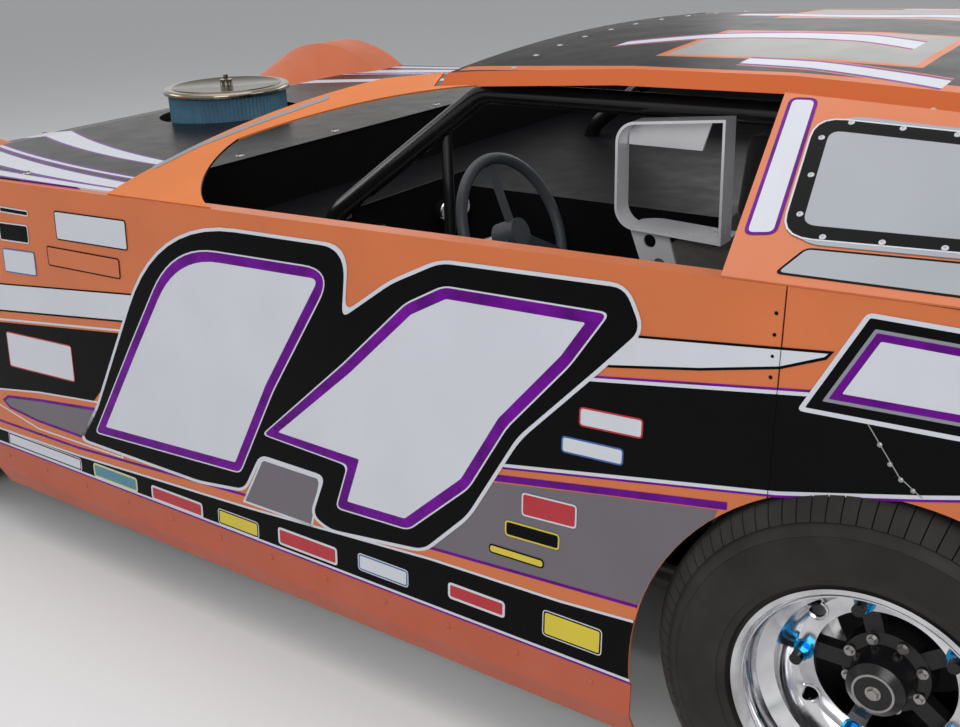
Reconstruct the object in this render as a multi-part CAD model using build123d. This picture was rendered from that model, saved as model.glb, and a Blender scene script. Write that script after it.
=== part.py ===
from build123d import *
import math
import os

os.makedirs("parts", exist_ok=True)

# Frame: X forward, Y to the car's left, Z up, millimetres.
# The origin is on the ground under the middle of the car's length.

# Driving dimensions of the chassis
WHEELBASE = 2616.0
NOSE_OVERHANG = 1270.0
TAIL_OVERHANG = 1194.0
TRACK = 1665.0

# Driving dimensions of the body
BODY_HALF_WIDTH = 1020.5        # at the rocker's top edge
ROCKER_TOP = 246.0
BODY_BOTTOM = 123.0
SIDE_LEAN = 4.16                # degrees from upright
DECK_AT_AXLE = 981.0            # deck height over the rear axle
DECK_SLOPE = 0.0231             # fall per millimetre forward
TAIL_HALF_WIDTH = 960.0
NOSE_TIP_HALF_WIDTH = 560.0
NOSE_CORNER = 290.0
SKIN = 4.0
FLANGE = 34.0
SEAM = 2.0
PANEL_GAP = 0.3

# Body stations, ahead of the rear axle or of the front axle
DOOR_REAR = 173.0               # ahead of the rear axle
DOOR_FRONT = -320.0             # ahead of the front axle
FENDER_FRONT = 70.0
HOOD_REAR = -966.0
HOOD_FRONT = 290.0
NOSE_TOP_REAR = 256.0
HOOD_BEND = -146.0
NOSE_BEND = 790.0
NOSE_SHOULDER_Z = 690.0
NOSE_TOP_Z = 852.0
NOSE_TIP_Z = 330.0
TAIL_BOTTOM = 470.0
COCKPIT_REAR = 150.0            # ahead of the rear axle

NOSE_TAPER = 95.0
NOSE_CORNER_RADIUS = 150.0
LID_INSET = 16.0
GRILLE_HALF_WIDTH = 420.0
GRILLE_LOW = 175.0
GRILLE_HIGH = 300.0
GRILLE_CORNER = 40.0
ROCKER_FOLD_Z = 182.0
ROCKER_BULGE = 5.0
ROCKER_TUCK = 22.0
TAIL_PANEL_LOW = 640.0

# Front wheel blisters
FLARE_REAR = -330.0             # ahead of the front axle
FLARE_FRONT = 420.0
FLARE_PEAK = 20.0
FLARE_INNER_Y = 560.0
FLARE_OUTER_Y = 800.0
FLARE_WIDTH = 200.0
FLARE_BASE_Z = 900.0
FLARE_FOOT_Z = 780.0
FLARE_HEIGHT = 115.0

# Spoiler
SPOILER_HEIGHT = 203.0
SPOILER_HALF_WIDTH = 880.0
SPOILER_ANGLE = 60.0
SPOILER_SIDE_LENGTH = 360.0
SPOILER_SIDE_FRONT = 12.0

# Air cleaner and its hole in the hood
AIR_AHEAD = 2250.0              # ahead of the rear axle
AIR_Y = 66.0
HOOD_HOLE = 205.0

# Arches
ARCH_REAR_SHIFT = -16.0
ARCH_REAR_Z = 296.0
ARCH_REAR_RADIUS = 404.0
ARCH_FRONT_Z = 318.0
ARCH_FRONT_RADIUS = 398.0

# Wheels
TYRE_RADIUS = 348.0
TYRE_WIDTH = 394.0
TREAD_WIDTH = 300.0
RIM_WIDTH = 368.0
RIM_LIP_RADIUS = 207.0
RIM_SEAT_RADIUS = 190.0
RIM_WALL = 6.0
LUG_CIRCLE = 130.0
LUGS = 5

# Steering
KINGPIN_INSET = 164.5           # from the wheel's middle plane
KINGPIN_Y = TRACK / 2 - KINGPIN_INSET
STEER_ARM = 150.0

# Greenhouse
UPPER_LEAN_RUN = 0.857          # inward run per millimetre up the lean
UPPER_LEAN_RISE = 0.515         # rise per millimetre up the lean
ROOF_LENGTH = 1280.0
ROOF_FRONT = 1050.0             # ahead of the rear axle, at the middle
ROOF_BOW = 35.0
ROOF_LIP = 46.0
ROOF_PLAN_HALF = 720.0
# Roof stations: ahead of the rear axle, lip's height up the lean, crown above the belt
ROOF_STATIONS = [
    (-260.0, 336.0, 218.0),
    (60.0, 376.0, 240.0),
    (325.0, 404.0, 254.0),
    (640.0, 410.0, 256.0),
    (960.0, 390.0, 247.0),
    (1120.0, 372.0, 238.0),
]
PILLAR_TIP = 1666.0
PILLAR_ROOF = 1165.0
PILLAR_ROOF_UP = 400.0
ROOF_STEP = 1028.0
ROOF_STEP_UP = 424.0
WINDOW_TOP_FRONT = 930.0
WINDOW_FOOT = 1348.0
WINDOW_CORNER = 1425.0
WINDOW_CORNER_UP = 195.0
# Points on the pillar's curves: ahead of the rear axle, up the lean
PILLAR_BOW = (1445.0, 240.0)
WINDOW_SWEEP = (1215.0, 310.0)
WINDOW_ROUND = (1441.0, 110.0)
SAIL_FOOT = 273.0
SAIL_FRONT = 320.0
SAIL_ROOF_REAR = -215.0
SAIL_TAIL = -905.0
SAIL_TAIL_UP = 45.0
# Corners of the side window: ahead of the rear axle, up the lean
SAIL_WINDOW = [(185.0, 97.0), (222.0, 335.0), (-235.0, 290.0), (-540.0, 112.0)]
SAIL_WINDOW_CORNER = 38.0
SAIL_WINDOW_LAP = 20.0
SAIL_WINDOW_SHEET = 2.0

# Tubes
CAGE_TUBE = 22.0                # radius
RAIL_TUBE = 26.0                # radius
CROSS_TUBE = 21.0               # radius

FIT = 0.08                      # running clearance round a shaft

# Tyre and rim sections
TYRE_SHOULDER = 26.0
TYRE_SHOULDER_DROP = 22.0
TREAD_CROWN = 4.0
TYRE_BULGE_RADIUS = 276.0
TYRE_CASING = 18.0
RIM_LIP = 8.0
RIM_DROP_RADIUS = 168.0
RIM_DISC_DEPTH = 100.0
RIM_RING_RADIUS = 112.0
RIM_HOLE_CIRCLE = 137.0
RIM_HOLE_RADIUS = 12.0
RIM_LIP_FACE = 8.0
RIM_LIP_DEPTH = 34.0
RIM_RING_WIDTH = 46.0
RIM_RING_THICK = 9.0
HUB_BACK = -120.0
BRAKE_RADIUS = 140.0
LUG_RADIUS = 10.0
SPINDLE_RADIUS = 24.0

# Knuckle, rack and arms
KNUCKLE_HEIGHT = 220.0
STEER_EYE_INSET = 80.0          # inwards of the kingpin
STEER_EYE_Y = KINGPIN_Y - STEER_EYE_INSET
STEER_ARM_THICK = 20.0
SHOCK_INSET = 123.0             # inwards of the kingpin
SHOCK_FOOT_Y = KINGPIN_Y - SHOCK_INSET
SHOCK_FOOT_Z = 238.0
SPRING_RADIUS = 34.0
RACK_Z = 285.0
RACK_RADIUS = 11.0
RACK_EYE_RADIUS = 17.0
RACK_EYE_THICK = 18.0
RACK_HALF = 260.0

# Frame rails and cage
RAIL_Z = 200.0
RAIL_Y = 620.0
RAIL_FRONT_Y = 360.0
RAIL_REAR_Y = 440.0
RAIL_REAR_Z = 580.0
RAIL_REAR_END = -980.0          # ahead of the rear axle
RAIL_FRONT_END = 640.0          # ahead of the front axle
UPPER_RAIL_Y = 380.0
UPPER_RAIL_Z = 480.0
SHOCK_HOOP_Z = 650.0
HOOP_Y = 600.0
HALO_Y = 580.0
HALO_Z = 1130.0
DASH_AHEAD = 1370.0             # dash bar, ahead of the rear axle
DASH_Z = 850.0

# Cockpit
TIN = 3.0
TIN_CLEAR = 0.6
TIN_DECK_Z = 815.0
TUNNEL_Y = 112.0
COCKPIT_LEFT = 740.0
GAUGE_YS = (165.0, 235.0, 480.0)
GAUGE_RADIUS = 28.0
SEAT_Y = 345.0
SEAT_HALF = 212.0
HEAD_BAR_Y = 568.0
HEAD_BAR_WIDTH = 45.0
HEAD_BAR_SHEET = 5.0
HEAD_BAR_BEND = 36.0
HEAD_BAR_LOW = 905.0
HEAD_BAR_HIGH = 1127.0
HEAD_BAR_REAR = 440.0           # ahead of the rear axle
HEAD_SHELF = 88.0               # width of the lower shelf
HEAD_FLANGE = 42.0              # depth of the flange under the top
REST_HALF = 118.0               # headrest, half its width
REST_AHEAD = 421.0              # ahead of the rear axle, at its foot
REST_LEAN = 0.12
REST_LOW = 905.0
REST_HIGH = 1086.0
REST_THICK = 12.0
PAD_THICK = 42.0
BELT_SLOT_Y = 60.0              # from the seat's middle
BELT_SLOT_Z = 818.0
BELT_SLOT_HALF = 38.0
BELT_SLOT_HEIGHT = 24.0
ENGINE_REAR = 1690.0            # ahead of the rear axle
ENGINE_FRONT = 2330.0
ENGINE_LOW = 235.0
ENGINE_HIGH = 720.0
GEARBOX_REAR = 1120.0
RADIATOR_REAR = 420.0           # ahead of the front axle
RADIATOR_CORE = 42.0
RADIATOR_HALF = 355.0
RADIATOR_HIGH = 560.0
RADIATOR_TANK = 50.0
GUARD_BAR = 5.0                 # radius
GUARD_BARS = 9
WHEEL_AHEAD = 1050.0
WHEEL_Z = 782.0
WHEEL_RIM_RADIUS = 178.0
WHEEL_GRIP_RADIUS = 13.0
COLUMN_ANGLE = 22.0
COLUMN_FOOT_Y = 245.0

# Engine, air cleaner, driveline and axle
ENGINE_Y = 20.0
GEARBOX_Z = 350.0
GEARBOX_RADIUS = 85.0
AIR_RADIUS = 184.0
AIR_FILTER_RADIUS = 172.0
AIR_BASE_Z = 900.0
AIR_TOP_Z = 1012.0
ENGINE_HALF = 240.0
EXHAUST_START = 1980.0
EXHAUST_END = 620.0
EXHAUST_Y = 400.0
EXHAUST_Z = 138.0
EXHAUST_RADIUS = 30.0
AXLE_TUBE = 38.0
AXLE_TUBE_INSET = 217.5         # from the wheel's middle plane
AXLE_TUBE_HALF = TRACK / 2 - AXLE_TUBE_INSET
AXLE_CAGE = 80.0

LENGTH = WHEELBASE + NOSE_OVERHANG + TAIL_OVERHANG
TAIL_X = -LENGTH / 2
NOSE_X = LENGTH / 2
REAR_AXLE_X = TAIL_X + TAIL_OVERHANG
FRONT_AXLE_X = REAR_AXLE_X + WHEELBASE
LEAN_TAN = math.tan(math.radians(SIDE_LEAN))
BELT_Y = BODY_HALF_WIDTH - (DECK_AT_AXLE - ROCKER_TOP) * LEAN_TAN

FAR = 4000.0                    # longer than any cut needs


def rear(distance):
    """X at a distance ahead of the rear axle."""
    return REAR_AXLE_X + distance


def front(distance):
    """X at a distance ahead of the front axle."""
    return FRONT_AXLE_X + distance


def belt(x):
    """Height of the deck line at X, over the straight stretch of the body."""
    return DECK_AT_AXLE - DECK_SLOPE * (x - REAR_AXLE_X)


def box(x0, x1, y0, y1, z0, z1):
    """Box between two corners."""
    return Pos((x0 + x1) / 2, (y0 + y1) / 2, (z0 + z1) / 2) * Box(x1 - x0, y1 - y0, z1 - z0)


def side_prism(points, y0=-FAR, y1=FAR):
    """Outline in XZ swept across the car from y0 to y1."""
    face = make_face(Polyline([(x, y1, z) for x, z in points], close=True))
    return extrude(face, y1 - y0, dir=(0, -1, 0))


def tube(points, radius, bends=None):
    """Round tube along straight runs, with tangent bends where they are given."""
    path = Polyline(points) if bends is None else FilletPolyline(points, radius=bends)
    start = Plane(origin=path @ 0, z_dir=path % 0)
    return sweep(start * Circle(radius), path=path, transition=Transition.RIGHT)


def mirrored(shape):
    """The same shape on the car's right side."""
    return mirror(shape, Plane.XZ)


def top_outline():
    """Side view of the body under its top line, from below the ground up."""
    bend_x, nose_x = front(HOOD_BEND), front(NOSE_BEND)
    straight = Polyline(
        (NOSE_X + SKIN, 0, -FAR),
        (TAIL_X - FAR, 0, -FAR),
        (TAIL_X - FAR, 0, DECK_AT_AXLE + SKIN),
        (TAIL_X, 0, DECK_AT_AXLE + SKIN),
        (REAR_AXLE_X, 0, DECK_AT_AXLE),
        (bend_x, 0, belt(bend_x)),
        (front(NOSE_TOP_REAR), 0, NOSE_TOP_Z),
        (nose_x, 0, NOSE_SHOULDER_Z),
    )
    run = Vector(nose_x - front(NOSE_TOP_REAR), 0, NOSE_SHOULDER_Z - NOSE_TOP_Z)
    nose = TangentArc((nose_x, 0, NOSE_SHOULDER_Z), (NOSE_X, 0, NOSE_TIP_Z), tangent=run)
    drop = Polyline((NOSE_X, 0, NOSE_TIP_Z), (NOSE_X + SKIN, 0, NOSE_TIP_Z), (NOSE_X + SKIN, 0, -FAR))
    return make_face([straight, nose, drop])


def plan_block(inset):
    """Plan outline of the body as a block that leans in with height, less an inset."""
    spread = ROCKER_TOP * LEAN_TAN
    wide, tail = BODY_HALF_WIDTH + spread, TAIL_HALF_WIDTH + spread
    tip = NOSE_X + BODY_BOTTOM * LEAN_TAN
    quarter_bend = rear(-ARCH_REAR_RADIUS)
    overrun = FLANGE * 4
    half = [
        (TAIL_X - overrun, tail - overrun * (wide - tail) / (quarter_bend - TAIL_X)),
        (quarter_bend, wide),
        (front(ARCH_FRONT_RADIUS), wide),
        (tip - NOSE_CORNER, wide - NOSE_TAPER),
        (tip, NOSE_TIP_HALF_WIDTH),
    ]
    outline = [(x, -y) for x, y in half] + half[::-1]
    face = make_face(Polyline(outline, close=True))
    tips = [v for v in face.vertices() if v.X > tip - NOSE_CORNER - 1]
    face = fillet(tips, NOSE_CORNER_RADIUS)
    if inset:
        face = offset(face, -inset, kind=Kind.INTERSECTION)
    return extrude(face, DECK_AT_AXLE + 100, dir=(0, 0, 1), taper=SIDE_LEAN)


def top_block(growth):
    """Everything under the body's top line, with the line moved out by a growth."""
    profile = top_outline()
    if growth:
        profile = offset(profile, growth, kind=Kind.INTERSECTION)
    return extrude(Pos(0, -FAR / 2, 0) * profile, FAR, dir=(0, 1, 0))


under_top = top_block(0)
under_lid = top_block(SKIN)
outer = plan_block(0) & under_top
inner = plan_block(SKIN) & top_block(-SKIN)
inside_flange = plan_block(FLANGE) & top_block(FAR / 100)
shell = outer - inner
lid_area = plan_block(LID_INSET)


def arch(x, z, radius):
    """Round wheel arch right across the car."""
    return Pos(x, 0, z) * Rot(90, 0, 0) * Cylinder(radius, FAR)


rear_arch = arch(rear(ARCH_REAR_SHIFT), ARCH_REAR_Z, ARCH_REAR_RADIUS)
front_arch = arch(FRONT_AXLE_X, ARCH_FRONT_Z, ARCH_FRONT_RADIUS)


def side_panel(points, cut):
    """Left side panel with its top flange: the body's skin within an outline."""
    piece = (shell & side_prism(points, 0, FAR)) - inside_flange - cut
    return piece.solids().sort_by(SortBy.VOLUME)[-1]


def quarter():
    """Quarter panel, over and behind the rear wheel."""
    x0, x1 = TAIL_X, rear(DOOR_REAR)
    low = ARCH_REAR_Z - 12
    bend = rear(-ARCH_REAR_RADIUS - 10)
    return side_panel([(x0, TAIL_BOTTOM), (bend, low), (x1, low), (x1, FAR), (x0, FAR)], rear_arch)


def door():
    """Door panel, from the rear arch to the front arch, fixed to the frame."""
    x0, x1 = rear(DOOR_REAR) + SEAM, front(DOOR_FRONT)
    outline = [(x0, ROCKER_TOP), (x1, ROCKER_TOP), (x1, FAR), (x0, FAR)]
    return side_panel(outline, rear_arch + front_arch)


def fender():
    """Front fender side, over the rear half of the front wheel."""
    x0, x1 = front(DOOR_FRONT) + SEAM, front(FENDER_FRONT)
    outline = [(x0, ROCKER_TOP), (x1, ROCKER_TOP), (x1, FAR), (x0, FAR)]
    return side_panel(outline, front_arch)


def nose():
    """Moulded nose: both front corners, the sloping top and the grille opening."""
    start = front(FENDER_FRONT) + SEAM
    skin = shell & box(start, NOSE_X + 1, -FAR, FAR, BODY_BOTTOM, FAR)
    open_top = inside_flange & box(start - 1, front(NOSE_TOP_REAR), -FAR, FAR, 0, FAR)
    skin = skin - open_top - front_arch
    mouth = box(NOSE_X - NOSE_CORNER, NOSE_X + 1, -GRILLE_HALF_WIDTH, GRILLE_HALF_WIDTH, GRILLE_LOW, GRILLE_HIGH)
    mouth = fillet(mouth.edges().filter_by(Axis.X), GRILLE_CORNER)
    return (skin - mouth).solids().sort_by(SortBy.VOLUME)[-1]


def lid(x0, x1):
    """Flat sheet laid on the panels' flanges, along the top line."""
    return (under_lid - under_top) & lid_area & box(x0, x1, -FAR, FAR, 0, FAR)


def hood():
    """Hood with the round hole for the air cleaner."""
    hole = Pos(rear(AIR_AHEAD), AIR_Y, DECK_AT_AXLE) * Cylinder(HOOD_HOLE, DECK_AT_AXLE)
    return lid(front(HOOD_REAR), front(HOOD_FRONT)) - hole


def rear_deck():
    """Rear deck from behind the seat to the tail."""
    return lid(TAIL_X, rear(COCKPIT_REAR))


def flare_section(y, height, growth):
    """Side view of the blister at one Y: a long arch over the front axle."""
    x0, x1 = front(FLARE_REAR) - growth, front(FLARE_FRONT) + growth
    top = FLARE_BASE_Z + height + growth
    arc = ThreePointArc((x0, y, FLARE_FOOT_Z), (front(FLARE_PEAK), y, top), (x1, y, FLARE_FOOT_Z))
    return make_face([arc, Line((x1, y, FLARE_FOOT_Z), (x0, y, FLARE_FOOT_Z))])


def flare_block(growth):
    """Blister as a block, low towards the middle of the car."""
    inner_y, outer_y = FLARE_INNER_Y - growth, FLARE_OUTER_Y
    slope = loft([flare_section(inner_y, 0, growth), flare_section(outer_y, FLARE_HEIGHT, growth)])
    crown = extrude(flare_section(outer_y, FLARE_HEIGHT, growth), FLARE_WIDTH, dir=(0, 1, 0))
    return slope + crown


def flare():
    """Blister over the left front wheel, seated on the hood and the flanges."""
    hollow = flare_block(-SKIN) & plan_block(LID_INSET + SKIN)
    piece = (flare_block(0) & lid_area) - hollow - under_lid
    return piece.solids().sort_by(SortBy.VOLUME)[-1]


def rocker():
    """Rocker strip below the door, with its fold and its turned-in lower edge."""
    x0 = rear(ARCH_REAR_SHIFT) + ARCH_REAR_RADIUS - 6
    x1 = front(0) - ARCH_FRONT_RADIUS + 8
    top_y = BODY_HALF_WIDTH
    profile = Polyline(
        (x0, top_y, ROCKER_TOP - PANEL_GAP),
        (x0, top_y + ROCKER_BULGE, ROCKER_FOLD_Z),
        (x0, top_y - ROCKER_TUCK, BODY_BOTTOM),
        (x0, top_y - ROCKER_TUCK - SKIN, BODY_BOTTOM),
        (x0, top_y + ROCKER_BULGE - SKIN, ROCKER_FOLD_Z),
        (x0, top_y - SKIN, ROCKER_TOP - PANEL_GAP),
        close=True,
    )
    return extrude(make_face(profile), x1 - x0, dir=(1, 0, 0))


# Plane of the pillars and sail panels: from the belt up and in to the roof's edge.
# Its X runs towards the tail and its Y up the lean.
upper_plane = Plane(
    origin=(REAR_AXLE_X, BELT_Y, DECK_AT_AXLE + PANEL_GAP),
    x_dir=(-1, 0, DECK_SLOPE),
    z_dir=(DECK_SLOPE * UPPER_LEAN_RUN, UPPER_LEAN_RISE, UPPER_LEAN_RUN),
)


def upper_points(points):
    """Points given as (ahead of the rear axle, up the lean), in the upper plane."""
    return [(-ahead, up) for ahead, up in points]


def upper_sheet(edges, thickness, lift=0.0):
    """Sheet on the upper plane within closed edges."""
    face = make_face(edges)
    return extrude(upper_plane * Pos(0, 0, lift) * face, thickness, dir=tuple(upper_plane.z_dir))


def a_pillar():
    """Front pillar panel with the curved front corner of the window opening."""
    tip, roof_front, lap, step, top_rear, corner, foot = upper_points(
        [
            (PILLAR_TIP, 0), (PILLAR_ROOF, PILLAR_ROOF_UP), (ROOF_STEP, ROOF_STEP_UP), (ROOF_STEP, roof_edge(ROOF_STEP)),
            (WINDOW_TOP_FRONT, roof_edge(WINDOW_TOP_FRONT)), (WINDOW_CORNER, WINDOW_CORNER_UP), (WINDOW_FOOT, 0),
        ]
    )
    bow, sweep_mid, round_mid = upper_points([PILLAR_BOW, WINDOW_SWEEP, WINDOW_ROUND])
    edges = [
        ThreePointArc(tip, bow, roof_front),
        Line(roof_front, lap),
        Line(lap, step),
        Line(step, top_rear),
        ThreePointArc(top_rear, sweep_mid, corner),
        ThreePointArc(corner, round_mid, foot),
        Line(foot, tip),
    ]
    return upper_sheet(edges, SKIN)


def sail_window_face(growth):
    """Rounded outline of the side window in the sail panel."""
    face = make_face(Polyline(upper_points(SAIL_WINDOW), close=True))
    face = fillet(face.vertices(), SAIL_WINDOW_CORNER)
    return offset(face, growth, kind=Kind.ARC) if growth else face


def sail():
    """Sail panel: rear pillar and long side panel under the roof, with its window."""
    top = [(SAIL_FRONT, roof_edge(SAIL_FRONT))]
    top += [(ahead, up - PANEL_GAP) for ahead, up, _ in ROOF_STATIONS[::-1] if SAIL_ROOF_REAR < ahead < SAIL_FRONT]
    top += [(SAIL_ROOF_REAR, roof_edge(SAIL_ROOF_REAR)), (SAIL_TAIL, SAIL_TAIL_UP), (SAIL_TAIL, 0)]
    sheet = upper_sheet(Polyline(upper_points([(SAIL_FOOT, 0)] + top), close=True), SKIN)
    hole = upper_plane * Pos(0, 0, -SKIN) * sail_window_face(0)
    return sheet - extrude(hole, 3 * SKIN, dir=tuple(upper_plane.z_dir))


def sail_window():
    """Flat plate riveted over the sail panel's window."""
    face = upper_plane * Pos(0, 0, SKIN) * sail_window_face(SAIL_WINDOW_LAP)
    return extrude(face, SAIL_WINDOW_SHEET, dir=tuple(upper_plane.z_dir))


def roof_section(ahead, up, crown, inset):
    """Roof section across the car: side lips on the upper plane, shoulders and crowned top."""
    x = rear(ahead)
    base = belt(x) + PANEL_GAP
    lip_y = BELT_Y - up * UPPER_LEAN_RUN - inset
    lip_z = base + up * UPPER_LEAN_RISE - inset
    shoulder_y = BELT_Y - (up + ROOF_LIP) * UPPER_LEAN_RUN - inset
    shoulder_z = base + (up + ROOF_LIP) * UPPER_LEAN_RISE - inset
    top = base + crown - inset
    edges = [
        Line((x, -lip_y, lip_z), (x, lip_y, lip_z)),
        Line((x, lip_y, lip_z), (x, shoulder_y, shoulder_z)),
        ThreePointArc((x, shoulder_y, shoulder_z), (x, 0, top), (x, -shoulder_y, shoulder_z)),
        Line((x, -shoulder_y, shoulder_z), (x, -lip_y, lip_z)),
    ]
    return make_face(edges)


def roof_block(inset):
    """Roof as a block through its stations."""
    return loft([roof_section(ahead, up, crown, inset) for ahead, up, crown in ROOF_STATIONS], ruled=True)


def roof_edge(ahead):
    """Height up the lean, just under the roof's lip, at a distance ahead of the rear axle."""
    for (x0, up0, _), (x1, up1, _) in zip(ROOF_STATIONS, ROOF_STATIONS[1:]):
        if x0 <= ahead <= x1:
            return up0 + (up1 - up0) * (ahead - x0) / (x1 - x0) - PANEL_GAP
    raise ValueError(f"no roof at {ahead}")


def roof():
    """Roof sheet with turned-down side lips and a bowed front edge."""
    corner, side = rear(ROOF_FRONT - ROOF_BOW), ROOF_PLAN_HALF
    tail = rear(ROOF_FRONT - ROOF_LENGTH)
    plan = make_face(
        [
            Line((tail, side), (tail, -side)),
            Line((tail, -side), (corner, -side)),
            ThreePointArc((corner, -side), (rear(ROOF_FRONT), 0), (corner, side)),
            Line((corner, side), (tail, side)),
        ]
    )
    skin = roof_block(0) - roof_block(SKIN)
    return skin & extrude(Pos(0, 0, DECK_AT_AXLE) * plan, FAR, dir=(0, 0, 1))


def spoiler():
    """Rear spoiler blade with its end plates and its middle brace, as one welded piece."""
    x0 = TAIL_X + SPOILER_HEIGHT * math.cos(math.radians(SPOILER_ANGLE))
    z0 = deck_top(x0) + PANEL_GAP
    lean = math.radians(SPOILER_ANGLE)
    tip = (x0 - SPOILER_HEIGHT * math.cos(lean), z0 + SPOILER_HEIGHT * math.sin(lean))
    back = (tip[0] + SKIN * math.sin(lean), tip[1] + SKIN * math.cos(lean))
    foot = (x0 + SKIN / math.sin(lean), z0)
    blade = side_prism([(x0, z0), tip, back, foot], -SPOILER_HALF_WIDTH, SPOILER_HALF_WIDTH)
    pieces = [blade]
    for y in (-SPOILER_HALF_WIDTH, -SKIN / 2, SPOILER_HALF_WIDTH - SKIN):
        x1 = x0 + SPOILER_SIDE_LENGTH
        plate = [(x0, z0), tip, back, (x1, deck_top(x1) + SPOILER_SIDE_FRONT), (x1, deck_top(x1) + PANEL_GAP)]
        pieces.append(side_prism(plate, y, y + SKIN))
    return sum(pieces[1:], start=pieces[0])


def deck_top(x):
    """Top of the rear deck sheet at X behind the rear axle."""
    rise = SKIN * (REAR_AXLE_X - x) / TAIL_OVERHANG
    return DECK_AT_AXLE + rise + SKIN


def tail_panel():
    """Panel across the tail, under the deck, with the opening below it."""
    half = TAIL_HALF_WIDTH - (DECK_AT_AXLE - ROCKER_TOP) * LEAN_TAN
    low_half = TAIL_HALF_WIDTH - (TAIL_BOTTOM - ROCKER_TOP) * LEAN_TAN
    inset = SKIN + PANEL_GAP
    face = make_face(
        Polyline(
            (TAIL_X, low_half - inset, TAIL_PANEL_LOW),
            (TAIL_X, half - inset, DECK_AT_AXLE - SKIN),
            (TAIL_X, inset - half, DECK_AT_AXLE - SKIN),
            (TAIL_X, inset - low_half, TAIL_PANEL_LOW),
            close=True,
        )
    )
    return extrude(face, SKIN, dir=(1, 0, 0)) & plan_block(SKIN + PANEL_GAP)


def around_wheel(profile, x, y):
    """Profile in (outward, radius) turned about a left wheel's axle at X, Y."""
    plane = Plane(origin=(x, y, TYRE_RADIUS), x_dir=(0, 1, 0), z_dir=(-1, 0, 0))
    axle = Axis((x, y, TYRE_RADIUS), (0, 1, 0))
    return revolve(plane * profile, axle)


def tyre(x):
    """Tyre casing, open towards the rim."""
    tread, wide, seat = TREAD_WIDTH / 2, TYRE_WIDTH / 2, RIM_SEAT_RADIUS + PANEL_GAP
    bead = RIM_WIDTH / 2 - RIM_LIP - PANEL_GAP
    shoulder = (tread + TYRE_SHOULDER, TYRE_RADIUS - TYRE_SHOULDER_DROP)
    profile = [
        ThreePointArc((-tread, TYRE_RADIUS - TREAD_CROWN), (0, TYRE_RADIUS), (tread, TYRE_RADIUS - TREAD_CROWN)),
        Line((tread, TYRE_RADIUS - TREAD_CROWN), shoulder),
        ThreePointArc(shoulder, (wide, TYRE_BULGE_RADIUS), (wide - 8, RIM_LIP_RADIUS + 6)),
        Line((wide - 8, RIM_LIP_RADIUS + 6), (bead, RIM_LIP_RADIUS + 3)),
        Line((bead, RIM_LIP_RADIUS + 3), (bead, seat)),
        Line((bead, seat), (bead - 26, seat)),
        ThreePointArc((bead - 26, seat), (wide - 20, TYRE_BULGE_RADIUS), (tread - 6, TYRE_RADIUS - TYRE_CASING)),
        Line((tread - 6, TYRE_RADIUS - TYRE_CASING), (6 - tread, TYRE_RADIUS - TYRE_CASING)),
    ]
    right = [mirror(edge, Plane.YZ) for edge in profile[1:7]]
    return around_wheel(make_face(profile + right), x, TRACK / 2)


def rim(x):
    """Aluminium rim: barrel with two lips, deep bowl and the ring that takes the lugs."""
    half, wall = RIM_WIDTH / 2, RIM_WALL
    seat, drop, lip = RIM_SEAT_RADIUS, RIM_DROP_RADIUS, RIM_LIP_RADIUS
    disc, ring = half - RIM_DISC_DEPTH, RIM_RING_RADIUS
    back = disc - 14 - wall
    edge = lip - RIM_LIP_FACE
    front_face = back + RIM_RING_THICK
    outside = Polyline(
        (half, edge), (half, lip), (half - RIM_LIP, lip), (half - RIM_LIP, seat), (half - 50, seat),
        (half - 72, drop), (72 - half, drop), (50 - half, seat), (RIM_LIP - half, seat),
        (RIM_LIP - half, lip), (-half, lip), (-half, seat - wall), (50 - half, seat - wall),
        (72 - half, drop - wall), (disc - wall, drop - wall), (back, ring), (front_face, ring),
        (front_face, ring + RIM_RING_WIDTH * 0.6),
    )
    root = (half - 68, drop - wall)
    bowl = ThreePointArc((front_face, ring + RIM_RING_WIDTH * 0.6), (disc + 8, drop - wall - 7), root)
    slope = Line(root, (half - 50, seat - wall))
    shelf = Line((half - 50, seat - wall), (half - RIM_LIP_DEPTH, seat - wall))
    mouth = ThreePointArc(
        (half - RIM_LIP_DEPTH, seat - wall), (half - RIM_LIP_DEPTH * 0.4, (seat - wall + edge) / 2 - 3), (half, edge)
    )
    wheel = around_wheel(make_face([outside, bowl, slope, shelf, mouth]), x, TRACK / 2)
    slot = Pos(x, TRACK / 2 + disc, TYRE_RADIUS) * Rot(90, 0, 0)
    for index in range(LUGS):
        lug = Rot(0, 0, index * 360 / LUGS) * Pos(LUG_CIRCLE, 0, 0)
        between = Rot(0, 0, (index + 0.5) * 360 / LUGS) * Pos(RIM_HOLE_CIRCLE, 0, 0)
        wheel -= slot * lug * Cylinder(LUG_RADIUS + PANEL_GAP, 80)
        wheel -= slot * between * Cylinder(RIM_HOLE_RADIUS, 80)
    return wheel


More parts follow.
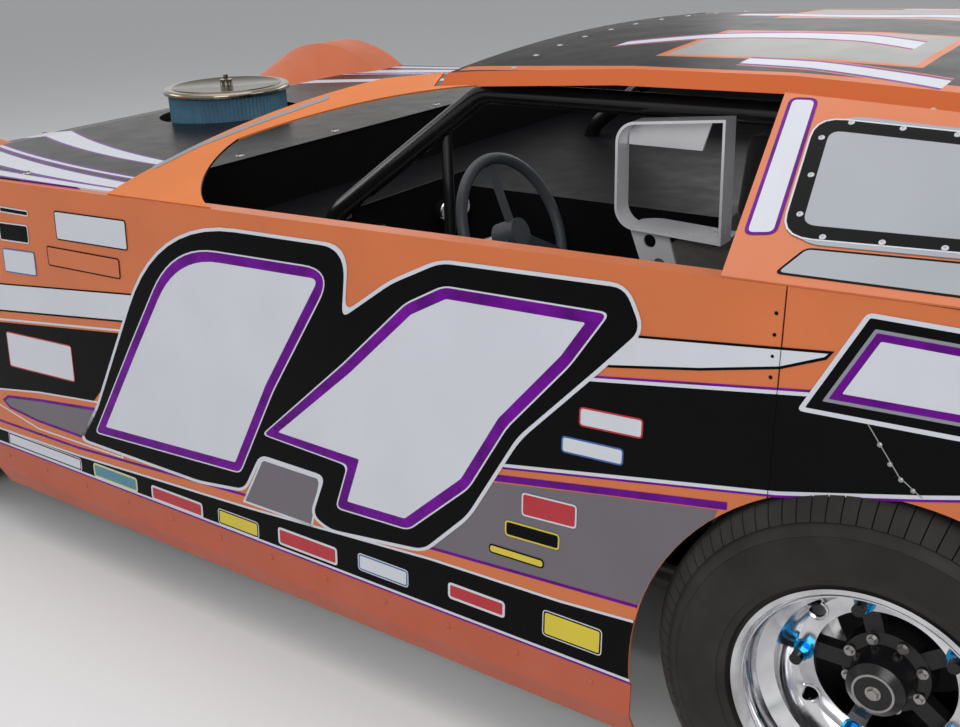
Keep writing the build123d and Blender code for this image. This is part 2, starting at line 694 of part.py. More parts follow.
def hub(x, pin):
    """Five-armed hub with lugs, cap and brake disc, bored for the spindle."""
    half = RIM_WIDTH / 2
    face = half - RIM_DISC_DEPTH - 14 - RIM_WALL - PANEL_GAP
    back = HUB_BACK
    outline = [
        (back, pin + FIT), (face + 30, pin + FIT), (face + 30, 0), (face + 62, 0), (face + 62, 34),
        (face + 52, 46), (face + 6, 52), (face, 70), (face - 26, 74), (back + 40, 60),
        (back + 12, 60), (back + 12, BRAKE_RADIUS), (back, BRAKE_RADIUS),
    ]
    body = around_wheel(make_face(Polyline(outline, close=True)), x, TRACK / 2)
    place = Pos(x, TRACK / 2, TYRE_RADIUS) * Rot(90, 0, 0)
    for index in range(LUGS):
        turn = place * Rot(0, 0, index * 360 / LUGS)
        arm = Pos((LUG_CIRCLE + 60) / 2, 0, -(face - 12)) * Box(LUG_CIRCLE - 60, 30, 24)
        seat = Pos(LUG_CIRCLE, 0, -(face - 12)) * Cylinder(17, 24)
        stud = Pos(LUG_CIRCLE, 0, -(face + 22)) * Cylinder(LUG_RADIUS, 44)
        body += turn * arm + turn * seat + turn * stud
    return body


def knuckle():
    """Left front knuckle: upright, spindle, steering arm and brake caliper."""
    x, z = FRONT_AXLE_X, TYRE_RADIUS
    half = KNUCKLE_HEIGHT / 2
    upright = box(x - 24, x + 24, KINGPIN_Y - 20, KINGPIN_Y + 20, z - half, z + half)
    spindle_end = TRACK / 2 + RIM_WIDTH / 2 - RIM_DISC_DEPTH - 14 - RIM_WALL + 24
    length = spindle_end - KINGPIN_Y
    spindle = Pos(x, KINGPIN_Y + length / 2, z) * Rot(90, 0, 0) * Cylinder(SPINDLE_RADIUS, length)
    arm_face = make_face(
        Polyline(
            (x + 20, KINGPIN_Y + 16), (x - 20, KINGPIN_Y - 16), (x + STEER_ARM - 16, STEER_EYE_Y - 12),
            (x + STEER_ARM + 16, STEER_EYE_Y - 12), (x + STEER_ARM + 16, STEER_EYE_Y + 12), close=True,
        )
    )
    arm_z = z - half
    arm = Pos(0, 0, arm_z) * extrude(arm_face, STEER_ARM_THICK, dir=(0, 0, 1))
    pin = Pos(x + STEER_ARM, STEER_EYE_Y, arm_z + STEER_ARM_THICK + 2) * Cylinder(9, 4)
    return upright + spindle + arm + pin


def steering_rack():
    """Rack bar with its tie rods and the flat eyes above the steering arms."""
    x = FRONT_AXLE_X + STEER_ARM
    bar = Pos(x, 0, RACK_Z) * Rot(90, 0, 0) * Cylinder(RACK_RADIUS, 2 * (STEER_EYE_Y - 14))
    for side in (1, -1):
        bar += Pos(x, side * STEER_EYE_Y, RACK_Z) * Cylinder(RACK_EYE_RADIUS, RACK_EYE_THICK)
    return bar


def rack_housing():
    """Rack tube on its two brackets."""
    x = FRONT_AXLE_X + STEER_ARM
    tube_part = Pos(x, 0, RACK_Z) * Rot(90, 0, 0) * Cylinder(28, 2 * RACK_HALF)
    for side in (1, -1):
        tube_part += box(x - 20, x + 20, side * 200 - 12, side * 200 + 12, RAIL_Z + 8, RACK_Z)
    bore = Pos(x, 0, RACK_Z) * Rot(90, 0, 0) * Cylinder(RACK_RADIUS + FIT, 3 * RACK_HALF)
    cross = Pos(x, 0, RAIL_Z) * Rot(90, 0, 0) * Cylinder(CROSS_TUBE + PANEL_GAP, 2 * RACK_HALF)
    return tube_part - bore - cross


def front_arms():
    """Upper and lower wishbones of one side."""
    x, z = FRONT_AXLE_X, TYRE_RADIUS
    half = KNUCKLE_HEIGHT / 2
    parts = []
    for spread, inner_y, level, ball in (
        (170.0, RAIL_FRONT_Y + RAIL_TUBE + 14, RAIL_Z, z - half - 14 - PANEL_GAP),
        (110.0, UPPER_RAIL_Y + CAGE_TUBE + 14, UPPER_RAIL_Z, z + half + 14 + PANEL_GAP),
    ):
        legs = [tube([(x + side * spread, inner_y, level), (x, KINGPIN_Y, ball)], 12) for side in (1, -1)]
        bush = [
            Pos(x + side * spread, inner_y, level) * Rot(0, 90, 0) * Cylinder(13.7, 60) for side in (1, -1)
        ]
        joint = Pos(x, KINGPIN_Y, ball) * Cylinder(20, 28)
        arm = legs[0] + legs[1] + bush[0] + bush[1] + joint
        if level == RAIL_Z:
            arm += box(x - 100, x + 100, SHOCK_FOOT_Y - 26, SHOCK_FOOT_Y + 26, SHOCK_FOOT_Z - 22, SHOCK_FOOT_Z - 14)
        parts.append(arm)
    return parts


def coil_over():
    """Front coil-over shock of one side, from the lower arm's seat to the shock hoop."""
    foot = Vector(FRONT_AXLE_X, SHOCK_FOOT_Y, SHOCK_FOOT_Z)
    head = Vector(FRONT_AXLE_X, UPPER_RAIL_Y + 62, SHOCK_HOOP_Z - 4)
    run = head - foot
    plane = Plane(origin=foot, z_dir=run)
    spring = plane * Pos(0, 0, run.length / 2) * Cylinder(SPRING_RADIUS, run.length - 120)
    rod = plane * Pos(0, 0, run.length / 2) * Cylinder(12, run.length)
    eye = Pos(*foot) * Rot(0, 90, 0) * Cylinder(13.7, 30)
    return spring + rod + eye


def frame_rails(growth=0.0):
    """Lower frame: two long rails with their kick-ups and the cross tubes."""
    side = [
        (rear(RAIL_REAR_END), RAIL_REAR_Y, RAIL_REAR_Z),
        (rear(180), RAIL_REAR_Y, RAIL_REAR_Z),
        (rear(430), RAIL_Y, RAIL_Z),
        (rear(1640), RAIL_Y, RAIL_Z),
        (front(-420), RAIL_FRONT_Y, RAIL_Z),
        (front(RAIL_FRONT_END), RAIL_FRONT_Y, RAIL_Z),
    ]
    left = tube(side, RAIL_TUBE + growth, bends=90)
    frame = left + mirrored(left)
    crosses = [
        (rear(RAIL_REAR_END + 25), RAIL_REAR_Y, RAIL_REAR_Z), (rear(-330), RAIL_REAR_Y, RAIL_REAR_Z),
        (rear(560), RAIL_Y, RAIL_Z), (rear(1560), RAIL_Y, RAIL_Z),
        (front(STEER_ARM), RAIL_FRONT_Y, RAIL_Z), (front(-170), RAIL_FRONT_Y, RAIL_Z),
        (front(RAIL_FRONT_END - 25), RAIL_FRONT_Y, RAIL_Z),
    ]
    for x, y, z in crosses:
        frame += Pos(x, 0, z) * Rot(90, 0, 0) * Cylinder(CROSS_TUBE + growth, 2 * y)
    return frame


def bumper(x_mount, y_mount, z_mount, x_bar, y_bar, z_bar):
    """Bent bumper bar from one rail end round to the other."""
    x_bend = x_mount + (x_bar - x_mount) * 0.35
    half = [(x_mount, y_mount, z_mount), (x_bend, y_mount, z_mount), (x_bar, y_bar, z_bar)]
    return tube(half + [(x, -y, z) for x, y, z in half[::-1]], CAGE_TUBE, bends=30)


def front_clip(growth=0.0):
    """Upper front rails and the shock hoop, from the firewall down to the lower rails."""
    r = CAGE_TUBE + growth
    end_x = front(560)
    side = [
        (rear(1610), 560, 600), (front(-400), UPPER_RAIL_Y, UPPER_RAIL_Z),
        (front(330), UPPER_RAIL_Y, UPPER_RAIL_Z), (end_x, UPPER_RAIL_Y, 400), (end_x, UPPER_RAIL_Y - 15, RAIL_Z),
    ]
    left = tube(side, r, bends=50)
    hoop_x = FRONT_AXLE_X
    hoop = tube(
        [
            (hoop_x, UPPER_RAIL_Y, UPPER_RAIL_Z), (hoop_x, UPPER_RAIL_Y + 20, SHOCK_HOOP_Z),
            (hoop_x, -UPPER_RAIL_Y - 20, SHOCK_HOOP_Z), (hoop_x, -UPPER_RAIL_Y, UPPER_RAIL_Z),
        ],
        CAGE_TUBE - 3 + growth, bends=60,
    )
    return left + mirrored(left) + hoop


def roll_cage(growth=0.0):
    """Roll cage: main hoop, halo, front legs, dash bar, side bars and rear stays."""
    r = CAGE_TUBE + growth
    foot_z = RAIL_Z + RAIL_TUBE + PANEL_GAP
    hoop_x, hoop_top_x = rear(430), rear(280)
    hoop = tube(
        [
            (hoop_x, HOOP_Y, foot_z), (hoop_top_x, HALO_Y, HALO_Z),
            (hoop_top_x, -HALO_Y, HALO_Z), (hoop_x, -HOOP_Y, foot_z),
        ],
        r, bends=90,
    )
    halo = tube(
        [
            (hoop_top_x, HALO_Y - 60, HALO_Z), (rear(1000), HALO_Y - 60, HALO_Z), (rear(DASH_AHEAD), 585, DASH_Z),
            (rear(1600), HOOP_Y, foot_z),
        ],
        r, bends=80,
    )
    bar = tube([(rear(470), 588, 480), (rear(640), 730, 480), (rear(1440), 730, 480), (rear(1520), 590, 480)], r, bends=90)
    stay = tube([(rear(345), 583, 700), (rear(-640), RAIL_REAR_Y, RAIL_REAR_Z + RAIL_TUBE + 10)], r)
    left = halo + bar + stay
    dash = Pos(rear(DASH_AHEAD), 0, DASH_Z) * Rot(90, 0, 0) * Cylinder(r, 1170)
    header = Pos(rear(985), 0, HALO_Z) * Rot(90, 0, 0) * Cylinder(r, 2 * HALO_Y - 120)
    brace = tube([(rear(1098), 520, 1058), (rear(1050), 590, 500)], 12 + growth)
    return hoop + left + mirrored(left) + dash + header + brace


def cockpit_tin():
    """Folded sheet of the cockpit: floor, walls, firewall and the dropped side decks."""
    t = TIN
    floor_top = RAIL_Z - RAIL_TUBE - PANEL_GAP
    x_back, x_fire, x_dash, x_rise = rear(388), rear(1655), rear(1400), rear(COCKPIT_REAR)
    edge = BODY_HALF_WIDTH - (TIN_DECK_Z - ROCKER_TOP) * LEAN_TAN - SKIN - PANEL_GAP
    wall = BELT_Y - FLANGE - PANEL_GAP * 10
    low, high = TIN_DECK_Z - t, TIN_DECK_Z
    sheets = [
        box(x_back - t, x_back, -560, 560, floor_top - t, 640),
        box(x_back - t, x_back, -edge, edge, 620, high),
        box(x_fire - t, x_fire, -540, 540, floor_top - t, 560),
        box(x_fire - t, x_fire, -wall, wall, 560, belt(x_fire) - PANEL_GAP),
        box(x_rise, x_fire, -edge, TUNNEL_Y, low, high),
        box(x_rise, x_back, -edge, edge, low, high),
        box(x_dash, x_fire, -edge, edge, low, high),
        box(x_back - t, x_fire, COCKPIT_LEFT, edge, low, high),
        box(x_back, x_fire, TUNNEL_Y, TUNNEL_Y + t, floor_top - t, high),
        box(x_rise, x_rise + t, -wall, wall, low, belt(x_rise + t) - PANEL_GAP),
    ]
    tin = box(x_back, x_fire, -590, 590, floor_top - t, floor_top)
    for sheet in sheets:
        tin += sheet
    tunnel = Pos(x_fire, ENGINE_Y, GEARBOX_Z) * Rot(0, 90, 0) * Cylinder(GEARBOX_RADIUS + 12, 80)
    tail_shaft = Pos(x_back, 0, TYRE_RADIUS) * Rot(0, 90, 0) * Cylinder(70, 80)
    return tin - tunnel - tail_shaft


def dash_panel():
    """Instrument panel under the dash bar, with three gauges."""
    x = rear(DASH_AHEAD) - CAGE_TUBE - PANEL_GAP - 4
    panel = box(x, x + 4, TUNNEL_Y + TIN + PANEL_GAP, 560, 700, DASH_Z + 6)
    for y in GAUGE_YS:
        panel += Pos(x - 9, y, 775) * Rot(0, 90, 0) * Cylinder(GAUGE_RADIUS, 20)
    return panel


def engine_block():
    """Engine and gearbox as a plain mass, up to the carburettor's flange."""
    x0, x1 = rear(ENGINE_REAR), rear(ENGINE_FRONT)
    block = box(x0, x1, ENGINE_Y - ENGINE_HALF, ENGINE_Y + ENGINE_HALF, ENGINE_LOW, ENGINE_HIGH)
    neck_top = AIR_BASE_Z - PANEL_GAP
    neck = Pos(rear(AIR_AHEAD), AIR_Y, (ENGINE_HIGH + neck_top) / 2 - 10) * Cylinder(62, neck_top - ENGINE_HIGH + 20)
    plate_half = RAIL_FRONT_Y - RAIL_TUBE - PANEL_GAP
    neck += box(x1, x1 + 6, -plate_half, plate_half, RAIL_Z - 10, 380)
    length = x0 - rear(GEARBOX_REAR) + 10
    gearbox = Pos(x0 + 10 - length / 2, ENGINE_Y, GEARBOX_Z) * Rot(0, 90, 0) * Cylinder(GEARBOX_RADIUS, length)
    return block + neck + gearbox


def driveshaft():
    """Driveshaft from the gearbox to the axle's pinion."""
    return tube([(rear(GEARBOX_REAR - 3 * PANEL_GAP), ENGINE_Y, GEARBOX_Z), (rear(250.9), 0, TYRE_RADIUS)], 38)


def air_cleaner():
    """Air cleaner base and lid, joined by the central stud."""
    x, y = rear(AIR_AHEAD), AIR_Y
    base = Pos(x, y, AIR_BASE_Z + 6) * Cylinder(AIR_RADIUS, 12)
    lid_plate = Pos(x, y, AIR_TOP_Z - 7) * Cylinder(AIR_RADIUS, 14)
    lid_plate = fillet(lid_plate.edges().group_by(Axis.Z)[-1], 9)
    stud = Pos(x, y, (AIR_BASE_Z + AIR_TOP_Z + 30) / 2) * Cylinder(7, AIR_TOP_Z + 30 - AIR_BASE_Z)
    nut = Pos(x, y, AIR_TOP_Z + 8) * Cylinder(18, 16)
    return base + lid_plate + stud + nut


def air_filter():
    """Pleated filter ring between base and lid."""
    low, high = AIR_BASE_Z + 12 + PANEL_GAP, AIR_TOP_Z - 14 - PANEL_GAP
    ring = Cylinder(AIR_FILTER_RADIUS, high - low) - Cylinder(AIR_FILTER_RADIUS - 36, high - low)
    return Pos(rear(AIR_AHEAD), AIR_Y, (low + high) / 2) * ring


def exhaust():
    """Exhaust pipes from the engine's sides back under the floor."""
    pipes = []
    for side in (1, -1):
        engine_side = ENGINE_Y + side * (ENGINE_HALF + PANEL_GAP)
        out = side * EXHAUST_Y
        points = [
            (rear(EXHAUST_START), engine_side, 430), (rear(EXHAUST_START), out, 430),
            (rear(EXHAUST_START - 300), out, EXHAUST_Z), (rear(EXHAUST_END), out, EXHAUST_Z),
        ]
        pipes.append(tube(points, EXHAUST_RADIUS, bends=60))
    return Compound(pipes)


def radiator():
    """Radiator between its side tanks, with the stone guard's bars in front."""
    low, x0 = RAIL_Z + RAIL_TUBE + PANEL_GAP, front(RADIATOR_REAR)
    x1 = x0 + RADIATOR_CORE + 8
    unit = box(x0, x0 + RADIATOR_CORE, -RADIATOR_HALF, RADIATOR_HALF, low, RADIATOR_HIGH)
    for side in (1, -1):
        y = side * (RADIATOR_HALF - RADIATOR_TANK / 2)
        tank = box(x0 - 8, x1, y - RADIATOR_TANK / 2, y + RADIATOR_TANK / 2, low, RADIATOR_HIGH)
        unit += fillet(tank.edges().filter_by(Axis.Z), 12)
    for z in (low + 24, RADIATOR_HIGH - 24):
        unit += box(x1 - 10, x1 + 2, -RADIATOR_HALF + 20, RADIATOR_HALF - 20, z - 12, z + 12)
    pitch = 2 * (RADIATOR_HALF - RADIATOR_TANK) / (GUARD_BARS + 1)
    for index in range(GUARD_BARS):
        y = (index + 1) * pitch - RADIATOR_HALF + RADIATOR_TANK
        unit += Pos(x1 + 2, y, (low + RADIATOR_HIGH) / 2) * Cylinder(GUARD_BAR, RADIATOR_HIGH - low - 40)
    return unit


def fuel_cell():
    """Fuel cell box behind the axle, between the rear rails."""
    half = RAIL_REAR_Y - RAIL_TUBE - PANEL_GAP
    return box(rear(-900), rear(-400), -half, half, 440, 720)


def rear_axle():
    """Quick-change rear axle: tubes, centre section, pinion snout and spindle ends."""
    x, z = REAR_AXLE_X, TYRE_RADIUS
    cross = Rot(90, 0, 0)
    end = TRACK / 2 + RIM_WIDTH / 2 - RIM_DISC_DEPTH - 14 - RIM_WALL + 24
    axle = Pos(x, 0, z) * cross * Cylinder(AXLE_TUBE, 2 * AXLE_TUBE_HALF)
    axle += Pos(x, 0, z) * cross * Cylinder(SPINDLE_RADIUS, 2 * end)
    centre = Pos(x, 0, z) * cross * Cylinder(125, 150)
    cover = Pos(x - 110, 0, z - 10) * Box(130, 130, 200)
    snout = Pos(x + 165, 0, z) * Rot(0, 90, 0) * Cylinder(48, 170)
    cages = [Pos(x, side * (AXLE_TUBE_HALF - 35), z) * cross * Cylinder(AXLE_CAGE, 40) for side in (1, -1)]
    return axle + centre + cover + snout + cages[0] + cages[1]


def rear_links():
    """Radius rods and shock of one side, from the axle's cage to the frame."""
    y = AXLE_TUBE_HALF - 35
    low = tube([(rear(50), y, 300), (rear(520), RAIL_Y - RAIL_TUBE - 4, 236)], 13)
    high = tube([(rear(50), y, 400), (rear(395), HOOP_Y - 20, 470)], 13)
    shock_x = -AXLE_CAGE - 28.9
    shock = tube([(rear(shock_x), y, 330), (rear(shock_x - 50), RAIL_REAR_Y + RAIL_TUBE + 32, 590)], 30)
    cage = Pos(REAR_AXLE_X, 0, TYRE_RADIUS) * Rot(90, 0, 0) * Cylinder(AXLE_CAGE + PANEL_GAP, FAR)
    stops = cage + frame_rails(PANEL_GAP) + roll_cage(PANEL_GAP)
    return [(part - stops).solids().sort_by(SortBy.VOLUME)[-1] for part in (low, high, shock)]


def seat():
    """Aluminium seat: bolstered side plates, back with belt slots, headrest and bottom."""
    floor_top = RAIL_Z - RAIL_TUBE - PANEL_GAP
    outer = [
        (980, 262), (600, floor_top + 40), (560, floor_top + 60), (432, 800), (420, 880), (540, 894), (640, 800),
        (655, 640), (705, 480), (780, 430), (980, 420),
    ]
    inner = [(1000, 274), (604, floor_top + 52), (574, floor_top + 70), (446, 800), (434, 920), (700, 940), (1200, 600)]
    outline = make_face(Polyline([(rear(x), FAR, z) for x, z in outer], close=True))
    round_corners = [v for v in outline.vertices() if v.Z > 450 and v.X > rear(500)]
    outline = fillet(round_corners, 26)
    outside = extrude(outline, 2 * FAR, dir=(0, -1, 0)) & box(
        rear(0), rear(2000), SEAT_Y - SEAT_HALF, SEAT_Y + SEAT_HALF, 0, FAR
    )
    inside = side_prism([(rear(x), z) for x, z in inner], SEAT_Y - SEAT_HALF + 6, SEAT_Y + SEAT_HALF - 6)
    shell_part = outside - inside
    for y in (SEAT_Y - BELT_SLOT_Y, SEAT_Y + BELT_SLOT_Y):
        slot = Pos(rear(430), y, BELT_SLOT_Z) * Box(60, 2 * BELT_SLOT_HALF, BELT_SLOT_HEIGHT)
        shell_part -= fillet(slot.edges().filter_by(Axis.X), BELT_SLOT_HEIGHT / 3)
    base = rest_front(REST_LOW) - REST_THICK
    tip = rest_front(REST_HIGH) - REST_THICK
    sheet = [
        (base, REST_LOW - 60), (base, REST_LOW), (tip, REST_HIGH), (tip + REST_THICK, REST_HIGH),
        (base + REST_THICK, REST_LOW), (base + REST_THICK, REST_LOW - 60),
    ]
    rest = side_prism(sheet, SEAT_Y - REST_HALF, SEAT_Y + REST_HALF)
    shell_part += fillet(rest.edges().filter_by(Axis.X).sort_by(Axis.Z)[-2:], 30)
    for x in (620, 900):
        rise = floor_top + 48 + (x - 620) * 0.12
        shell_part += box(rear(x), rear(x + 40), SEAT_Y - 150, SEAT_Y + 150, floor_top + PANEL_GAP, rise)
    return shell_part


def seat_cushion():
    """Padding on the seat's bottom and back."""
    outline = [
        (950, 268.3), (612, 227.4), (580, 242), (452, 850), (484, 850), (604, 282), (630, 262), (950, 299),
    ]
    outline = [(rear(x), z) for x, z in outline]
    return side_prism(outline, SEAT_Y - SEAT_HALF + 12, SEAT_Y + SEAT_HALF - 12)


def rest_front(z):
    """X of the headrest's front face at a height."""
    return rear(REST_AHEAD - (z - REST_LOW) * REST_LEAN) + REST_THICK


def head_pad():
    """Pad on the headrest, behind the helmet."""
    low, high = REST_LOW + 12, REST_HIGH - 10
    x0, x1 = rest_front(low) + PANEL_GAP, rest_front(high) + PANEL_GAP
    outline = [(x0, low), (x1, high), (x1 + PAD_THICK, high), (x0 + PAD_THICK, low)]
    pad = side_prism(outline, SEAT_Y - REST_HALF + 8, SEAT_Y + REST_HALF - 8)
    return fillet(pad.faces().sort_by(Axis.X)[-1].edges(), 14)


def head_restraint():
    """Head restraint: bent flat bar beside the helmet, its flanges, and its leg with two round holes."""
    t = HEAD_BAR_SHEET
    y0, y1 = HEAD_BAR_Y - HEAD_BAR_WIDTH / 2, HEAD_BAR_Y + HEAD_BAR_WIDTH / 2
    line = [
        (rear(380), y0, HEAD_BAR_HIGH), (rear(650), y0, HEAD_BAR_HIGH - 25), (rear(652), y0, HEAD_BAR_LOW + 9),
        (rear(430), y0, HEAD_BAR_LOW),
    ]
    loop = make_face(Polyline(line, close=True))
    corners = [v for v in loop.vertices() if v.X > rear(600)]
    loop = fillet(corners, HEAD_BAR_BEND)
    rim = offset(loop, t, kind=Kind.ARC) - loop
    band = extrude(rim, y1 - y0, dir=(0, 1, 0)) & box(rear(HEAD_BAR_REAR), rear(700), y0, y1, 800, 1200)
    drop = HEAD_BAR_HIGH - 25 - HEAD_FLANGE
    plate = side_prism([(rear(x), z) for x, z in ((470, 1150), (648, 1150), (648, drop), (500, drop))], y0, y0 + t)
    plate = plate & extrude(loop, y1 - y0, dir=(0, 1, 0))
    post = box(rear(HEAD_BAR_REAR), rear(HEAD_BAR_REAR) + t, y0, y1, HEAD_BAR_LOW - t / 2, HEAD_BAR_HIGH - 4)
    shelf = box(rear(HEAD_BAR_REAR), rear(628), y1 - HEAD_SHELF, y0 + t, HEAD_BAR_LOW, HEAD_BAR_LOW + t + 8)
    shelf = fillet(shelf.edges().filter_by(Axis.Z).sort_by(Axis.X)[-2:].sort_by(Axis.Y)[:1], 38)
    shelf = shelf & extrude(offset(loop, t, kind=Kind.ARC), FAR, both=True, dir=(0, 1, 0))
    shelf -= extrude(loop, FAR, both=True, dir=(0, 1, 0))
    side = SEAT_Y + SEAT_HALF + PANEL_GAP
    leg = side_prism([(rear(640), 907), (rear(560), 907), (rear(528), 800), (rear(600), 800)], side, side + t)
    for x, z in ((596, 882), (575, 838)):
        leg -= Pos(rear(x), side, z) * Rot(90, 0, 0) * Cylinder(13, 20)
    return band + plate + post + shelf + leg


def steering_wheel():
    """Steering wheel: round rim, three spokes and the hub, square to the column."""
    plane = column_plane()
    ring = plane * Torus(WHEEL_RIM_RADIUS, WHEEL_GRIP_RADIUS)
    boss = plane * Pos(0, 0, 10) * Cylinder(34, 60)
    wheel = ring + boss
    for angle in (90, 210, 330):
        wheel += plane * Rot(0, 0, angle) * Pos(WHEEL_RIM_RADIUS / 2, 0, 0) * Box(WHEEL_RIM_RADIUS - 4, 26, 5)
    return wheel


def column_plane():
    """Plane of the steering wheel: Z runs forward down the column."""
    lean = math.radians(COLUMN_ANGLE)
    return Plane(
        origin=(rear(WHEEL_AHEAD), SEAT_Y, WHEEL_Z), x_dir=(0, 1, 0), z_dir=(math.cos(lean), 0, -math.sin(lean))
    )


def steering_column(growth=0.0):
    """Steering column from the wheel's hub forward, and the lower shaft to the rack."""
    plane = column_plane()
    start = plane.origin + plane.z_dir * (40 + PANEL_GAP)
    knee = plane.origin + plane.z_dir * 640
    foot = Vector(FRONT_AXLE_X + STEER_ARM - 14, COLUMN_FOOT_Y, RACK_Z + 28 + 12)
    return tube([tuple(start), tuple(knee), tuple(foot)], 11 + growth)


NODES = {}


def add(name, shape):
    """Store a finished piece under its node name."""
    NODES[name] = shape


def add_pair(name, shape):
    """Store a left piece and its mirror image on the right."""
    NODES[f"{name}_left"] = shape
    NODES[f"{name}_right"] = mirrored(shape)


def add_both_sides(name, *shapes):
    """Store left pieces and their mirror images together under one name."""
    NODES[name] = Compound([*shapes, *(mirrored(shape) for shape in shapes)])


add("nose", nose())
add_pair("fender", fender())
add_pair("door", door())
add_pair("quarter", quarter())
add_both_sides("rockers", rocker())
add_both_sides("flares", flare())
add("hood", hood())
add("rear_deck", rear_deck())
add_both_sides("a_pillars", a_pillar())
add_pair("sail", sail())
add_both_sides("sail_windows", sail_window())
add("roof", roof())
add("spoiler", spoiler())
add("tail_panel", tail_panel())
add("frame_rails", frame_rails())
front_bumper = bumper(front(RAIL_FRONT_END) + PANEL_GAP, RAIL_FRONT_Y, RAIL_Z, front(880), 430, 300)
rear_bumper = bumper(rear(RAIL_REAR_END) - PANEL_GAP, RAIL_REAR_Y, RAIL_REAR_Z, TAIL_X + 40, 560, 540)
add("bumpers", Compound([front_bumper, rear_bumper]))
rails_room = frame_rails(PANEL_GAP)
add("roll_cage", (roll_cage() - rails_room).solids().sort_by(SortBy.VOLUME)[-1])
add("front_clip", (front_clip() - rails_room - roll_cage(PANEL_GAP)).solids().sort_by(SortBy.VOLUME)[-1])
add("dash_panel", dash_panel())
add("engine_block", engine_block())
add("driveshaft", driveshaft())
add("air_cleaner", air_cleaner())
add("air_filter", air_filter())
add("exhaust", exhaust())
add("radiator", radiator())
add("fuel_cell", fuel_cell())
add("rear_axle", rear_axle())
links = rear_links()
add_both_sides("rear_links", *links)
tin = cockpit_tin() - roll_cage(TIN_CLEAR) - frame_rails(TIN_CLEAR) - front_clip(TIN_CLEAR) - steering_column(TIN_CLEAR)
for part in links:
    tin = tin - part - mirrored(part)
add("cockpit_tin", tin.solids().sort_by(SortBy.VOLUME)[-1])
add_both_sides("front_arms", *front_arms())
add_both_sides("coil_overs", coil_over())
add_pair("knuckle", knuckle())
add("rack_housing", rack_housing())
add("steering_rack", steering_rack())
add("seat", seat())
add("seat_cushion", seat_cushion())
add("head_restraint", head_restraint())
add("head_pad", head_pad())
add("steering_wheel", steering_wheel())
add("steering_column", steering_column())
for place, x in (("front", FRONT_AXLE_X), ("rear", REAR_AXLE_X)):
    for piece, shape in (("tyre", tyre(x)), ("rim", rim(x)), ("hub", hub(x, SPINDLE_RADIUS))):
        add(f"{piece}_{place}_left", shape)
        add(f"{piece}_{place}_right", mirrored(shape))

for name, shape in NODES.items():
    export_step(shape, f"parts/{name}.step")
    size = shape.bounding_box()
    print(f"{name}: solids {len(shape.solids())} volume {shape.volume / 1000:.1f} cm3 "
          f"x {size.min.X:.1f} {size.max.X:.1f} y {size.min.Y:.1f} {size.max.Y:.1f} z {size.min.Z:.1f} {size.max.Z:.1f}")
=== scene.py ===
"""Dresses a dirt late model stock car: finishes, vinyl graphics, tyres, fasteners and padding.

Lengths are in metres, +X runs forward along the car, +Y to its left and +Z up.
"""
import logging
import math
from dataclasses import dataclass, field, replace
from enum import Enum
from typing import Sequence

import bmesh
import bpy
from mathutils import Matrix, Vector


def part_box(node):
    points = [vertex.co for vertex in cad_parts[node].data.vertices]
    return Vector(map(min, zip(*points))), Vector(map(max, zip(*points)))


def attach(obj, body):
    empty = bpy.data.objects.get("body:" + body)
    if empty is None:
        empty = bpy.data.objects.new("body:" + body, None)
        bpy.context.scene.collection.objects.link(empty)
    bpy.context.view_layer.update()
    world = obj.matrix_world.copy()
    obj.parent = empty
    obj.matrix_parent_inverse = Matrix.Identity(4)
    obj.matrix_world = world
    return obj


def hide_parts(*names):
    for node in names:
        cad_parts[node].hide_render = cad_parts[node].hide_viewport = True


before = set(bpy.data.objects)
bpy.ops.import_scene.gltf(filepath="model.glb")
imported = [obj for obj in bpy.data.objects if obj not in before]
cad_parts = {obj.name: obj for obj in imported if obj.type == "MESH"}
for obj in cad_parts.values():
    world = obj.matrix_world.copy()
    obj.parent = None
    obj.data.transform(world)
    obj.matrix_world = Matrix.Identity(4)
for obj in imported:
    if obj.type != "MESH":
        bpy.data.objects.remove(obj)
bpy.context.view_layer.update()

logging.basicConfig(level=logging.INFO, format="%(name)s: %(message)s")
log = logging.getLogger("stock_car")

Colour = tuple[float, float, float]
Point = tuple[float, float]

REAR_AXLE = -1.346
FRONT_AXLE = 1.270
HALF_TRACK = 0.8325
WHEEL_HEIGHT = 0.348
SIDES = (("left", 1.0), ("right", -1.0))


@dataclass(frozen=True)
class Corner:
    """One wheel's place on the car.

    Attributes:
        name: Front or rear, and its side.
        side: 1 for the left, -1 for the right.
        middle: Middle of the wheel.
    """

    name: str
    side: float
    middle: Vector


CORNERS = tuple(
    Corner(f"{end}_{side_name}", side, Vector((ahead, side * HALF_TRACK, WHEEL_HEIGHT)))
    for end, ahead in (("front", FRONT_AXLE), ("rear", REAR_AXLE))
    for side_name, side in SIDES
)


class Grain(Enum):
    """Small relief that a surface carries."""

    NONE = "none"
    PEEL = "orange peel"
    BRUSHED = "brushed"
    CAST = "cast"
    RUBBER = "rubber"
    WEAVE = "weave"


